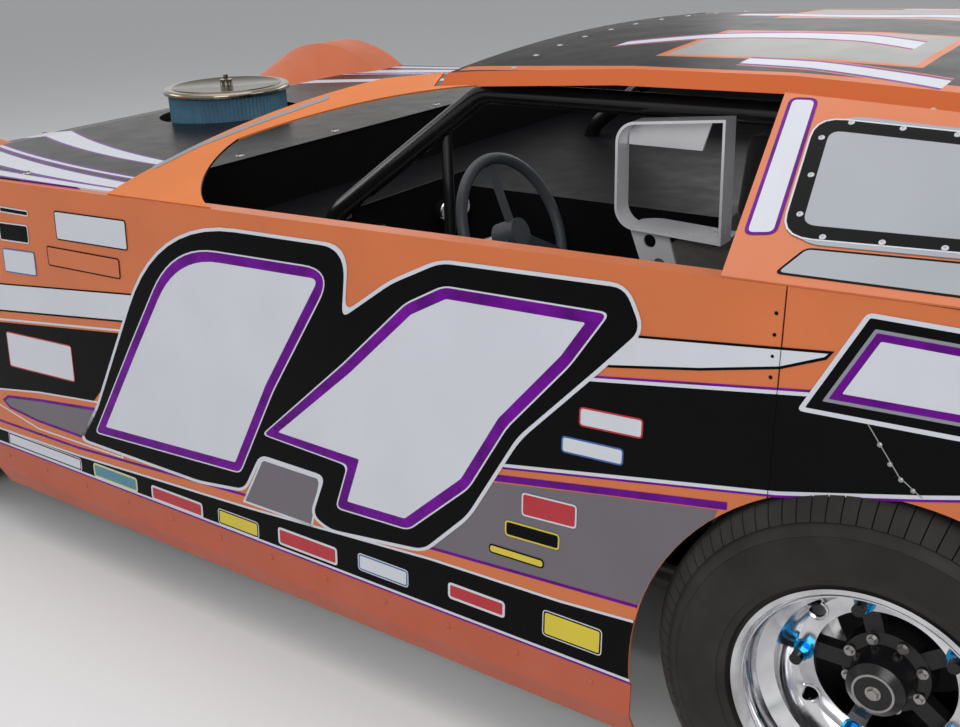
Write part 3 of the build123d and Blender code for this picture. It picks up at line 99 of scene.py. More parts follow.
class Shade:
    """Node tree of one material under construction."""

    def __init__(self, name: str) -> None:
        """Start an empty tree with a Principled shader.

        Args:
            name: Name of the material.
        """
        self.material = bpy.data.materials.new(name)
        self.material.use_nodes = True
        self.tree = self.material.node_tree
        self.surface = self.tree.nodes["Principled BSDF"]
        self.place = self.add("ShaderNodeTexCoord").outputs["Object"]

    def add(self, kind: str, **settings: object) -> bpy.types.Node:
        """Add a node and set its plain properties.

        Args:
            kind: Blender's identifier of the node.
            **settings: Properties to set on the node.

        Returns:
            The new node.
        """
        node = self.tree.nodes.new(kind)
        for key, value in settings.items():
            setattr(node, key, value)
        return node

    def join(self, source: bpy.types.NodeSocket, target: bpy.types.NodeSocket) -> None:
        """Link two sockets."""
        self.tree.links.new(source, target)

    def math(self, operation: str, *values: object) -> bpy.types.NodeSocket:
        """Add a Math node.

        Args:
            operation: The node's operation.
            *values: Numbers or sockets for its inputs.

        Returns:
            The node's output.
        """
        node = self.add("ShaderNodeMath", operation=operation)
        for index, value in enumerate(values):
            if isinstance(value, (int, float)):
                node.inputs[index].default_value = value
            else:
                self.join(value, node.inputs[index])
        return node.outputs[0]

    def axes(self, vector: bpy.types.NodeSocket) -> Sequence[bpy.types.NodeSocket]:
        """Split a vector.

        Args:
            vector: The vector's socket.

        Returns:
            Its X, Y and Z.
        """
        node = self.add("ShaderNodeSeparateXYZ")
        self.join(vector, node.inputs[0])
        return node.outputs

    def noise(self, scale: float, detail: float = 3.0,
              stretch: Sequence[float] = (1, 1, 1)) -> bpy.types.NodeSocket:
        """Add noise on Object coordinates.

        Args:
            scale: Cells per metre.
            detail: Octaves.
            stretch: Scale along each axis.

        Returns:
            The noise factor.
        """
        mapping = self.add("ShaderNodeMapping")
        mapping.inputs["Scale"].default_value = stretch
        self.join(self.place, mapping.inputs["Vector"])
        node = self.add("ShaderNodeTexNoise")
        node.inputs["Scale"].default_value = scale
        node.inputs["Detail"].default_value = detail
        self.join(mapping.outputs[0], node.inputs["Vector"])
        return node.outputs["Fac"]

    def spread(self, value: bpy.types.NodeSocket, low: float, high: float) -> bpy.types.NodeSocket:
        """Map noise around 0.5 onto a range.

        Args:
            value: Noise factor.
            low: Result at 0.3.
            high: Result at 0.7.

        Returns:
            The mapped value.
        """
        return self.mapped(value, (0.3, low), (0.7, high))

    def mapped(self, value: bpy.types.NodeSocket, start: Point, end: Point) -> bpy.types.NodeSocket:
        """Map a value from one range onto another.

        Args:
            value: Value to map.
            start: Lowest value and its result.
            end: Highest value and its result.

        Returns:
            The mapped value.
        """
        node = self.add("ShaderNodeMapRange")
        node.inputs["From Min"].default_value, node.inputs["To Min"].default_value = start
        node.inputs["From Max"].default_value, node.inputs["To Max"].default_value = end
        self.join(value, node.inputs["Value"])
        return node.outputs[0]

    def blend(self, factor: object, first: object, second: object) -> bpy.types.NodeSocket:
        """Mix two colours.

        Args:
            factor: Number or socket from 0 to 1.
            first: Colour or socket at 0.
            second: Colour or socket at 1.

        Returns:
            The mixed colour.
        """
        node = self.add("ShaderNodeMix", data_type="RGBA")
        for socket, value in ((node.inputs[0], factor), (node.inputs[6], first), (node.inputs[7], second)):
            if isinstance(value, bpy.types.NodeSocket):
                self.join(value, socket)
            elif isinstance(value, (int, float)):
                socket.default_value = value
            else:
                socket.default_value = (*value, 1.0)
        return node.outputs[2]

    def bump(self, height: bpy.types.NodeSocket, metres: float) -> None:
        """Let a height field raise the surface.

        Args:
            height: Field from 0 to 1.
            metres: Height at 1.
        """
        node = self.add("ShaderNodeBump")
        node.inputs["Distance"].default_value = metres
        node.inputs["Strength"].default_value = 1.0
        self.join(height, node.inputs["Height"])
        self.join(node.outputs[0], self.surface.inputs["Normal"])


@dataclass(frozen=True)
class Stripe:
    """A painted stripe that runs from one place to another in a plane of two axes.

    Attributes:
        colour: Paint of the stripe.
        start: Place along the first axis and across it where it starts.
        end: Place where it ends.
        wide: Width at the start and at the end.
        bow: Sideways bow at its middle.
    """

    colour: Colour
    start: Point
    end: Point
    wide: Point
    bow: float = 0.0


COAT_ROUGHNESS = 0.06
WEAR_SCALE = 3.1
DUST = (0.30, 0.25, 0.20)
DUST_TOP = 0.7
# Faces that look further into the car than this get the near-black painted shade.
FACES_IN = -0.12


@dataclass(frozen=True)
class Finish:
    """How a surface looks.

    Attributes:
        name: Name of the material.
        colour: Base colour, linear.
        roughness: Middle roughness.
        metallic: 1 for bare metal.
        coat: Weight of the clear coat.
        specular: Level of the bare surface's reflection.
        sheen: Weight of a cloth's sheen.
        mottle: Share by which the colour varies.
        mottle_scale: Patches per metre.
        wear: Spread of the roughness.
        grain: Small relief.
        grain_scale: Features per metre.
        grain_height: Relief in metres.
        dust: Share of pale dust near the ground.
        stripes: Painted stripes over the base colour.
        stripe_axes: The two axes in which the stripes are laid out.
        inside: Near-black painted shade for the faces that look into the car, or None for the same as
            outside.
        flank: Paint of the faces that look to the side, or None for the same as the rest.
    """

    name: str
    colour: Colour
    roughness: float = 0.4
    metallic: float = 0.0
    coat: float = 0.0
    specular: float = 0.35
    sheen: float = 0.0
    mottle: float = 0.06
    mottle_scale: float = 5.0
    wear: float = 0.06
    grain: Grain = Grain.NONE
    grain_scale: float = 400.0
    grain_height: float = 0.00005
    dust: float = 0.0
    stripes: tuple[Stripe, ...] = ()
    stripe_axes: tuple[int, int] = (0, 1)
    inside: Colour | None = None
    flank: Colour | None = None

    def material(self) -> bpy.types.Material:
        """Return the finish's material, made once."""
        made = bpy.data.materials.get(self.name)
        return made if made else self._make()

    def _make(self) -> bpy.types.Material:
        """Build the node tree.

        Returns:
            The new material.
        """
        shade = Shade(self.name)
        patches = shade.noise(self.mottle_scale, 4.0)
        dark = tuple(channel * (1 - self.mottle) for channel in self.colour)
        light = tuple(min(1.0, channel * (1 + self.mottle)) for channel in self.colour)
        colour = shade.blend(shade.spread(patches, 0.0, 1.0), dark, light)
        for stripe in self.stripes:
            colour = shade.blend(self._stripe_mask(shade, stripe), colour, stripe.colour)
        if self.dust:
            colour = self._dusted(shade, colour)
        if self.flank:
            colour = shade.blend(self._flank_mask(shade), colour, self.flank)
        # Painted shade: faces that look into the car are darkened to near black.
        if self.inside:
            colour = shade.blend(self._painted_shade_mask(shade), colour, self.inside)
        shade.join(colour, shade.surface.inputs["Base Color"])
        low, high = max(0.02, self.roughness - self.wear), min(1.0, self.roughness + self.wear)
        rough = shade.spread(shade.noise(self.mottle_scale * WEAR_SCALE, 5.0), low, high)
        shade.join(rough, shade.surface.inputs["Roughness"])
        shade.surface.inputs["Metallic"].default_value = self.metallic
        shade.surface.inputs["Coat Weight"].default_value = self.coat
        shade.surface.inputs["Coat Roughness"].default_value = COAT_ROUGHNESS
        shade.surface.inputs["Specular IOR Level"].default_value = self.specular
        shade.surface.inputs["Sheen Weight"].default_value = self.sheen
        self._relief(shade)
        return shade.material

    def _relief(self, shade: Shade) -> None:
        """Add the grain's bump.

        Args:
            shade: Tree to add to.
        """
        if self.grain is Grain.NONE:
            return
        if self.grain is Grain.BRUSHED:
            height = shade.noise(self.grain_scale, 2.0, (0.06, 0.06, 1.0))
        elif self.grain is Grain.WEAVE:
            height = shade.math("MULTIPLY", self._wave(shade, "X"), self._wave(shade, "Z"))
        else:
            height = shade.noise(self.grain_scale, 2.0 if self.grain is Grain.PEEL else 6.0)
        shade.bump(height, self.grain_height)

    def _wave(self, shade: Shade, axis: str) -> bpy.types.NodeSocket:
        """Return bands of threads along one axis.

        Args:
            shade: Tree to add to.
            axis: Direction across the threads.

        Returns:
            The band's factor.
        """
        node = shade.add("ShaderNodeTexWave", bands_direction=axis)
        node.inputs["Scale"].default_value = self.grain_scale
        node.inputs["Distortion"].default_value = 0.4
        shade.join(shade.place, node.inputs["Vector"])
        return node.outputs["Fac"]

    def _stripe_mask(self, shade: Shade, stripe: Stripe) -> bpy.types.NodeSocket:
        """Return 1 on a stripe and 0 off it.

        Args:
            shade: Tree to add to.
            stripe: The stripe.

        Returns:
            The mask.
        """
        place = shade.axes(shade.place)
        along, across = (place[axis] for axis in self.stripe_axes)
        if self.stripe_axes[1] == 1:
            across = shade.math("ABSOLUTE", across)
        length = stripe.end[0] - stripe.start[0]
        share = shade.math("DIVIDE", shade.math("SUBTRACT", along, stripe.start[0]), length)
        line = shade.math("MULTIPLY_ADD", share, stripe.end[1] - stripe.start[1], stripe.start[1])
        arch = shade.math("MULTIPLY", share, shade.math("SUBTRACT", 1.0, share))
        line = shade.math("MULTIPLY_ADD", arch, 4.0 * stripe.bow, line)
        half = shade.math("MULTIPLY_ADD", share, (stripe.wide[1] - stripe.wide[0]) / 2, stripe.wide[0] / 2)
        off = shade.math("ABSOLUTE", shade.math("SUBTRACT", across, line))
        painted = shade.math("LESS_THAN", off, half)
        painted = shade.math("MULTIPLY", painted, shade.math("GREATER_THAN", share, 0.0))
        return shade.math("MULTIPLY", painted, shade.math("LESS_THAN", share, 1.0))

    @staticmethod
    def _flank_mask(shade: Shade) -> bpy.types.NodeSocket:
        """Return 1 on faces that look away from the car's middle plane and 0 elsewhere.

        Args:
            shade: Tree to add to.

        Returns:
            The mask.
        """
        place = shade.axes(shade.place)
        normal = shade.axes(shade.add("ShaderNodeNewGeometry").outputs["True Normal"])
        outward = shade.math("MULTIPLY", normal[1], shade.math("SIGN", place[1]))
        return shade.math("GREATER_THAN", outward, 0.5)

    @staticmethod
    def _painted_shade_mask(shade: Shade) -> bpy.types.NodeSocket:
        """Return 1 on faces that look into the car, which get painted shade, and 0 on its outside.

        Args:
            shade: Tree to add to.

        Returns:
            The mask.
        """
        place = shade.axes(shade.place)
        normal = shade.axes(shade.add("ShaderNodeNewGeometry").outputs["True Normal"])
        outward = shade.math("MULTIPLY", normal[2], 0.8)
        for axis, share in ((0, 0.3), (1, 0.6)):
            toward = shade.math("MULTIPLY", shade.math("SIGN", place[axis]), share)
            outward = shade.math("MULTIPLY_ADD", normal[axis], toward, outward)
        return shade.math("LESS_THAN", outward, FACES_IN)

    def _dusted(self, shade: Shade, colour: bpy.types.NodeSocket) -> bpy.types.NodeSocket:
        """Lay pale dust over the colour near the ground.

        Args:
            shade: Tree to add to.
            colour: Colour so far.

        Returns:
            The dusted colour.
        """
        share = shade.mapped(shade.axes(shade.place)[2], (0.0, self.dust), (DUST_TOP, self.dust * 0.25))
        clouds = shade.spread(shade.noise(11.0, 6.0), 0.3, 1.0)
        return shade.blend(shade.math("MULTIPLY", share, clouds), colour, DUST)


ORANGE = (0.585, 0.150, 0.045)
BRIGHT_ORANGE = (0.66, 0.165, 0.022)
BLACK = (0.0055, 0.0055, 0.006)
WHITE = (0.58, 0.595, 0.645)
PURPLE = (0.125, 0.003, 0.225)
TAUPE = (0.135, 0.118, 0.135)
SILVER = (0.26, 0.275, 0.30)
GREY = (0.30, 0.30, 0.29)
DEEP_ORANGE = (0.52, 0.115, 0.035)
# Near black of the roll cage's own powder coat, also used as painted shade on the insides of the panels and
# window sheets.
CAGE_AND_SHADE_BLACK = (0.008, 0.008, 0.009)

# BODY and the finishes made from it paint their inner faces near black as painted shade.
BODY = Finish("orange_body_vinyl", ORANGE, 0.36, coat=0.12, grain=Grain.PEEL, grain_scale=260, dust=0.05,
              inside=CAGE_AND_SHADE_BLACK)
FLARE = replace(BODY, name="orange_flare_plastic", colour=DEEP_ORANGE, roughness=0.45, coat=0.0)
PILLAR = replace(BODY, name="orange_pillar_paint", colour=BRIGHT_ORANGE)
ROCKER = Finish("orange_rocker_plastic", (0.46, 0.082, 0.034), 0.46, grain=Grain.CAST, grain_scale=900,
                grain_height=0.00004, dust=0.16)
GLOSS_BLACK = Finish("black_gloss_paint", BLACK, 0.26, specular=0.05, wear=0.03, grain=Grain.PEEL,
                     grain_scale=240)
TIN_BLACK = Finish("black_tin_paint", (0.007, 0.007, 0.008), 0.42, specular=0.03, wear=0.05,
                   grain=Grain.PEEL, grain_scale=120, grain_height=0.00004)
CAGE_BLACK = Finish("black_cage_powder", CAGE_AND_SHADE_BLACK, 0.24, coat=0.15, specular=0.3, grain=Grain.CAST,
                    grain_scale=900, grain_height=0.00003)
FRAME_BLACK = Finish("black_frame_powder", (0.018, 0.018, 0.020), 0.40, grain=Grain.CAST, grain_scale=800,
                     grain_height=0.00005, dust=0.25)
WHITE_VINYL = Finish("white_vinyl", WHITE, 0.34, coat=0.1, mottle=0.03)
BLACK_VINYL = Finish("black_vinyl", (0.0035, 0.0035, 0.004), 0.24, specular=0.05, mottle=0.1, wear=0.04)
PURPLE_VINYL = Finish("purple_vinyl", PURPLE, 0.30, specular=0.1, mottle=0.35, mottle_scale=18)
TAUPE_VINYL = Finish("taupe_vinyl", TAUPE, 0.34, coat=0.1, mottle=0.05)
STRIPE_ORANGE = Finish("orange_stripe_vinyl", ORANGE, 0.36, coat=0.12, mottle=0.04)
SILVER_VINYL = Finish("silver_vinyl", SILVER, 0.36, metallic=0.35, coat=0.1, mottle=0.10, mottle_scale=1.5)
# The window sheet's inner face is painted near black as painted shade.
WINDOW_SHEET = replace(SILVER_VINYL, name="silver_window_sheet", inside=CAGE_AND_SHADE_BLACK)
RED_VINYL = Finish("red_vinyl", (0.42, 0.02, 0.03), 0.3, coat=0.1)
YELLOW_VINYL = Finish("yellow_vinyl", (0.62, 0.50, 0.035), 0.3, coat=0.1)
BLUE_VINYL = Finish("blue_vinyl", (0.03, 0.10, 0.30), 0.3, coat=0.1)
TEAL_VINYL = Finish("teal_vinyl", (0.06, 0.22, 0.30), 0.3, coat=0.1)
POLISHED = Finish("polished_aluminium", (0.58, 0.58, 0.60), 0.15, metallic=1.0, mottle=0.30, mottle_scale=11,
                  wear=0.08, grain=Grain.BRUSHED, grain_scale=500, grain_height=0.00001)
SHEET_ALUMINIUM = Finish("sheet_aluminium", (0.36, 0.36, 0.38), 0.32, metallic=1.0, mottle=0.12, wear=0.08,
                         grain=Grain.BRUSHED, grain_scale=700, grain_height=0.00002)
STEEL = Finish("plated_steel", (0.34, 0.33, 0.32), 0.36, metallic=1.0, mottle=0.12, mottle_scale=20,
               grain=Grain.CAST, grain_scale=900, grain_height=0.00003, dust=0.15)
CAST_IRON = Finish("cast_iron", (0.04, 0.04, 0.042), 0.55, metallic=0.4, grain=Grain.CAST, grain_scale=500,
                   grain_height=0.0002, dust=0.2)
CHROME = Finish("chrome", (0.60, 0.58, 0.55), 0.10, metallic=1.0, mottle=0.06, wear=0.03)
SMOKED_RIM = Finish("smoked_rim", (0.22, 0.19, 0.155), 0.14, metallic=1.0, mottle=0.12, wear=0.04)
BRIGHT_SHEET = Finish("bright_aluminium", (0.80, 0.80, 0.83), 0.26, metallic=0.35, mottle=0.05, wear=0.02,
                      grain=Grain.BRUSHED, grain_scale=700, grain_height=0.00002)
BRONZE_CHROME = Finish("smoked_chrome", (0.105, 0.090, 0.068), 0.20, metallic=1.0, mottle=0.16, wear=0.05)
RUBBER = Finish("tyre_rubber", (0.0105, 0.0100, 0.0100), 0.55, specular=0.18, mottle=0.30, mottle_scale=14,
                grain=Grain.RUBBER, grain_scale=700, grain_height=0.00012, dust=0.12)
GRIP = Finish("grip_rubber", (0.055, 0.062, 0.072), 0.50, specular=0.3, mottle=0.08, grain=Grain.RUBBER,
              grain_scale=1500, grain_height=0.00008)
CLOTH = Finish("black_seat_cloth", (0.012, 0.012, 0.013), 0.85, sheen=0.12, mottle=0.15, mottle_scale=40,
               grain=Grain.WEAVE, grain_scale=260, grain_height=0.0003)
SEAT_COVER = replace(CLOTH, name="grey_seat_cloth", colour=(0.105, 0.095, 0.090))
HUB_BLACK = Finish("black_hub_anodising", (0.010, 0.010, 0.011), 0.28, specular=0.3, mottle=0.15, wear=0.1)
BLUE_ANODISING = Finish("blue_anodising", (0.012, 0.22, 0.46), 0.18, metallic=0.9, mottle=0.1,
                        mottle_scale=60)
FILTER = Finish("blue_filter_cloth", (0.075, 0.175, 0.255), 0.75, sheen=0.1, mottle=0.12, mottle_scale=30,
                grain=Grain.CAST, grain_scale=1600, grain_height=0.0001)
TANK = Finish("black_tank_plastic", (0.024, 0.024, 0.026), 0.55, grain=Grain.CAST, grain_scale=700,
              grain_height=0.0001, dust=0.1)
DIAL = Finish("white_dial", (0.68, 0.68, 0.65), 0.35, mottle=0.02)
SPRING_PAINT = Finish("orange_spring_paint", (0.50, 0.11, 0.03), 0.35, coat=0.2, dust=0.1)


def edged(runs: Sequence[tuple[Point, Point, Point, float]],
          edges: Sequence[tuple[Colour, float, float]]) -> tuple[Stripe, ...]:
    """Return stripes, each painted over its wider borders.

    Args:
        runs: Start, end, widths there and bow of each stripe.
        edges: Colour of each coat, and how much wider than the run it starts and ends.

    Returns:
        The stripes in the order of painting.
    """
    return tuple(
        Stripe(colour, start, end, (wide[0] + first, wide[1] + last), bow)
        for start, end, wide, bow in runs
        for colour, first, last in edges
    )


HOOD_STRIPES = edged(
    (
        ((1.250, 0.880), (0.330, 0.945), (0.044, 0.022), 0.010),
        ((1.330, 0.700), (0.310, 0.905), (0.095, 0.040), 0.035),
        ((1.400, 0.600), (0.320, 0.845), (0.016, 0.010), 0.040),
        ((1.480, 0.330), (0.420, 0.700), (0.110, 0.030), 0.060),
        ((1.560, 0.845), (1.250, 0.880), (0.052, 0.044), 0.000),
        ((1.560, 0.622), (1.330, 0.700), (0.120, 0.095), 0.000),
        ((1.560, 0.540), (1.400, 0.600), (0.018, 0.016), 0.000),
        ((1.560, 0.284), (1.480, 0.330), (0.120, 0.110), 0.000),
    ),
    ((PURPLE, 0.020, 0.014), (WHITE, 0.0, 0.0)),
)
ROOF_STRIPES = (
    Stripe(ORANGE, (-0.330, 0.560), (-1.576, 0.600), (0.036, 0.060)),
    Stripe(ORANGE, (-0.700, 0.290), (-1.190, 0.290), (0.330, 0.330)),
    Stripe(GREY, (-0.716, 0.290), (-1.174, 0.290), (0.298, 0.298)),
    *edged(
        (
            ((-0.546, 0.303), (-1.129, 0.256), (0.050, 0.075), -0.087),
            ((-0.887, 0.475), (-1.256, 0.560), (0.045, 0.055), -0.015),
        ),
        ((ORANGE, 0.034, 0.034), (PURPLE, 0.022, 0.022), (WHITE, 0.0, 0.0)),
    ),
)
NOSE_STRIPES = edged(
    (
        ((2.440, 0.360), (1.340, 0.622), (0.030, 0.130), 0.060),
        ((2.360, 0.110), (1.340, 0.284), (0.030, 0.130), 0.030),
        ((2.200, 0.640), (1.340, 0.845), (0.016, 0.054), 0.030),
    ),
    ((BLACK, 0.070, 0.070), (PURPLE, 0.022, 0.022), (WHITE, 0.0, 0.0)),
)
QUARTER_STRIPES = edged(
    (((-1.742, 0.8535), (-2.540, 0.800), (0.107, 0.190), 0.0),),
    ((PURPLE, 0.020, 0.020), (WHITE, 0.012, 0.012), (BLACK, 0.0, 0.0)),
)

HOOD = replace(GLOSS_BLACK, name="black_hood_paint", stripes=HOOD_STRIPES)
ROOF = replace(GLOSS_BLACK, name="black_roof_paint", roughness=0.36, specular=0.02, stripes=ROOF_STRIPES,
               flank=DEEP_ORANGE)
NOSE = replace(BODY, name="orange_nose_plastic", roughness=0.42, stripes=NOSE_STRIPES)
QUARTER = replace(BODY, name="orange_quarter_vinyl", stripes=QUARTER_STRIPES, stripe_axes=(0, 2))


@dataclass(frozen=True)
class Skin:
    """A flat skin of the body on which graphics are laid out by (distance ahead, height).

    Attributes:
        origin: Place of (0, 0).
        along: Step of the first coordinate.
        up: Step of the second coordinate.
        out: Direction away from the car.
    """

    origin: Vector
    along: Vector
    up: Vector
    out: Vector

    def matrix(self, side: float = 1.0) -> Matrix:
        """Return the matrix from (along, up, out) to the car.

        Args:
            side: 1 for the left of the car, -1 for its mirror image.

        Returns:
            The matrix.
        """
        columns = (self.along, self.up, self.out.normalized(), self.origin)
        matrix = Matrix([[column[row] for column in columns] for row in range(3)] + [[0, 0, 0, 1]])
        return Matrix.Diagonal((1, side, 1, 1)) @ matrix


LEAN = math.tan(math.radians(4.16))
DOOR_FOOT_HALF_WIDTH = 1.0205
DOOR_FOOT_HEIGHT = 0.246
SIDE_SKIN = Skin(
    origin=Vector((REAR_AXLE, DOOR_FOOT_HALF_WIDTH + LEAN * DOOR_FOOT_HEIGHT, 0)),
    along=Vector((1, 0, 0)),
    up=Vector((0, -LEAN, 1)),
    out=Vector((0, 1, LEAN)),
)

BELT_SLOPE = 0.0231
BELT_HALF_WIDTH = 0.967
BELT_HEIGHT = 0.981
UPPER_SKIN = Skin(
    origin=Vector((REAR_AXLE, BELT_HALF_WIDTH, BELT_HEIGHT)),
    along=Vector((1, 0, -BELT_SLOPE)),
    up=Vector((0, -0.857, 0.515)),
    out=Vector((0.0198, 0.515, 0.857)),
)


class Piece:
    """One piece of the scene in the making: a bmesh and the finishes of its faces."""

    def __init__(self, name: str, body: str = "chassis", slot: str | None = None) -> None:
        """Start an empty piece.

        Args:
            name: Name of the object.
            body: Body that it rides on.
            slot: Material slot of the record, if one fits; not used.
        """
        self.name, self.body, self.slot = name, body, slot
        self.mesh = bmesh.new()
        self.finishes: list[Finish] = []

    def index(self, finish: Finish) -> int:
        """Return the material index of a finish, adding it where it is new.

        Args:
            finish: The finish.

        Returns:
            Its index.
        """
        if finish not in self.finishes:
            self.finishes.append(finish)
        return self.finishes.index(finish)

    def add(self, shape: bmesh.types.BMesh, finish: Finish, place: Matrix | None = None) -> None:
        """Move a shape into the piece.

        Args:
            shape: Finished shape, which is freed.
            finish: Finish of all its faces.
            place: Where it goes.
        """
        number = self.index(finish)
        for face in shape.faces:
            face.material_index = number
        if place is not None:
            bmesh.ops.transform(shape, matrix=place, verts=shape.verts)
            if place.determinant() < 0:
                bmesh.ops.reverse_faces(shape, faces=shape.faces)
        scratch = bpy.data.meshes.new("scratch")
        shape.to_mesh(scratch)
        shape.free()
        self.mesh.from_mesh(scratch)
        bpy.data.meshes.remove(scratch)

    def done(self, smooth: float | None = 35.0, stands_for: Sequence[str] = ()) -> bpy.types.Object:
        """Make the object and let it ride.

        Args:
            smooth: Angle in degrees under which edges shade smooth, or None for flat faces.
            stands_for: Nodes that it replaces.

        Returns:
            The object.
        """
        data = bpy.data.meshes.new(self.name)
        self.mesh.to_mesh(data)
        self.mesh.free()
        for finish in self.finishes:
            data.materials.append(finish.material())
        if smooth is not None:
            data.shade_smooth()
            data.set_sharp_from_angle(angle=math.radians(smooth))
        made = bpy.data.objects.new(self.name, data)
        bpy.context.scene.collection.objects.link(made)
        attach(made, self.body)
        if stands_for:
            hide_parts(*stands_for)
        log.info("%s: %d faces", self.name, len(data.polygons))
        return made


def turned(profile: Sequence[Point], steps: int = 32, closed: bool = False) -> bmesh.types.BMesh:
    """Spin a profile about the Z axis.

    Args:
        profile: Points of (radius, height).
        steps: Segments of the full turn.
        closed: True where the profile is a loop.

    Returns:
        The turned shape.
    """
    shape = bmesh.new()
    verts = [shape.verts.new((radius, 0, height)) for radius, height in profile]
    pairs = list(zip(verts, verts[1:] + verts[:1])) if closed else list(zip(verts, verts[1:]))
    edges = [shape.edges.new(pair) for pair in pairs]
    bmesh.ops.spin(shape, geom=[*verts, *edges], cent=(0, 0, 0), axis=(0, 0, 1), angle=math.tau,
                   steps=steps, use_merge=True, use_duplicate=False)
    bmesh.ops.remove_doubles(shape, verts=shape.verts, dist=1e-6)
    bmesh.ops.recalc_face_normals(shape, faces=shape.faces)
    return shape


def block(size: Sequence[float], rounding: float = 0.0) -> bmesh.types.BMesh:
    """Make a block centred on the origin.

    Args:
        size: Length along X, Y and Z.
        rounding: Radius of its edges.

    Returns:
        The block.
    """
    shape = bmesh.new()
    bmesh.ops.create_cube(shape, size=1.0)
    bmesh.ops.scale(shape, vec=size, verts=shape.verts)
    if rounding:
        bmesh.ops.bevel(shape, geom=shape.edges, offset=rounding, offset_type="OFFSET", segments=2,
                        profile=0.5, affect="EDGES", material=-1)
    return shape


def bolt(radius: float, height: float, washer: float = 1.7) -> bmesh.types.BMesh:
    """Make a hexagon bolt head on a washer, standing on the origin along Z.

    Args:
        radius: Radius across the head's corners.
        height: Height of the head.
        washer: Washer's radius as a share of the head's.

    Returns:
        The bolt head.
    """
    shape = turned([(0, 0), (radius * washer, 0), (radius * washer, height * 0.2), (0, height * 0.2)], 16)
    bmesh.ops.create_cone(shape, cap_ends=True, segments=6, radius1=radius, radius2=radius * 0.93,
                          depth=height, matrix=Matrix.Translation((0, 0, height * 0.6)))
    return shape


def rivet(radius: float, height: float) -> bmesh.types.BMesh:
    """Make a domed rivet head standing on the origin along Z."""
    arc = [(radius * math.cos(turn), height * math.sin(turn)) for turn in (0.0, 0.5, 1.0)]
    return turned([(0, 0), *arc, (0, height)], 12)


def aimed(place: Sequence[float], direction: Sequence[float]) -> Matrix:
    """Return the matrix that stands a shape's Z axis along a direction at a place."""
    turn = Vector(direction).to_track_quat("Z", "Y").to_matrix().to_4x4()
    return Matrix.Translation(place) @ turn


EDGE_SHARE = 0.45
SHARPEST_MITRE = 0.45


def rounded(corners: Sequence[Sequence[float]], radius: float, segments: int = 5) -> list[Point]:
    """Round the corners of an outline, each no further than its edges allow.

    Args:
        corners: Corners in order, where a third value is the reach of a corner's own wider bend.
        radius: Reach of the rounding from each other corner.
        segments: Segments of each round corner.

    Returns:
        The rounded outline.
    """
    made = []
    for index, corner in enumerate(corners):
        here = Vector(corner[:2])
        back = Vector(corners[index - 1][:2]) - here
        ahead = Vector(corners[(index + 1) % len(corners)][:2]) - here
        wide = len(corner) > 2
        reach = min(corner[2] if wide else radius, EDGE_SHARE * back.length, EDGE_SHARE * ahead.length)
        first, last = here + back.normalized() * reach, here + ahead.normalized() * reach
        steps = segments * 2 if wide else segments
        for step in range(steps + 1):
            share = step / steps
            made.append(tuple(first.lerp(here, share).lerp(here.lerp(last, share), share)))
    return made


def outline(corners: Sequence[Sequence[float]], rounding: float = 0.0) -> bmesh.types.BMesh:
    """Make a flat face that looks along Z.

    Args:
        corners: Corners as (along, up).
        rounding: Reach of the rounding at each corner.

    Returns:
        The flat face.
    """
    shape = bmesh.new()
    edge = rounded(corners, rounding) if rounding else corners
    shape.faces.new([shape.verts.new((x, y, 0)) for x, y in edge])
    shape.normal_update()
    bmesh.ops.reverse_faces(shape, faces=[face for face in shape.faces if face.normal.z < 0])
    return shape


def shrunk(corners: Sequence[Sequence[float]], width: float) -> list[Sequence[float]]:
    """Return an outline moved inwards by a width, with mitred corners and evenly narrower bends.

    Args:
        corners: Corners in order, either way round.
        width: Distance to move each edge.

    Returns:
        The new corners.
    """
    area = sum(a[0] * b[1] - b[0] * a[1] for a, b in zip(corners, (*corners[1:], corners[0])))
    turn = 1.0 if area > 0 else -1.0
    moved = []
    for index, corner in enumerate(corners):
        here = Vector(corner[:2])
        before = (here - Vector(corners[index - 1][:2])).normalized()
        after = (Vector(corners[(index + 1) % len(corners)][:2]) - here).normalized()
        normals = [Vector((-step.y, step.x)) * turn for step in (before, after)]
        middle = (normals[0] + normals[1]).normalized()
        straight = max(SHARPEST_MITRE, middle.dot(normals[0]))
        less = width * (2 / straight - 2) / math.sqrt(1.0001 - straight ** 2)
        bends = [max(0.25 * reach, reach - less) for reach in corner[2:]]
        moved.append((*(here + middle * width / straight), *bends))
    return moved


def ribbon(line: Sequence[Point], width: float) -> tuple[Point, ...]:
    """Return the outline of a strip that hangs under a line.

    Args:
        line: Points of its upper edge, from the front backwards.
        width: Width of the strip.

    Returns:
        The strip's corners.
    """
    return (*line, *((ahead, up - width) for ahead, up in reversed(line)))


def strip(line: Sequence[Point], near: float, far: float) -> tuple[Point, ...]:
    """Return the outline of a strip that runs beside a line, on its left hand.

    Args:
        line: Points of the line.
        near: Distance of the strip's first edge.
        far: Distance of its second edge.

    Returns:
        The strip's corners.
    """
    edges = []
    for distance in (near, far):
        moved = []
        for index, spot in enumerate(line):
            run = Vector(line[min(len(line) - 1, index + 1)]) - Vector(line[max(0, index - 1)])
            run.normalize()
            moved.append(tuple(Vector(spot) + Vector((-run.y, run.x)) * distance))
        edges.append(moved)
    return (*edges[0], *reversed(edges[1]))


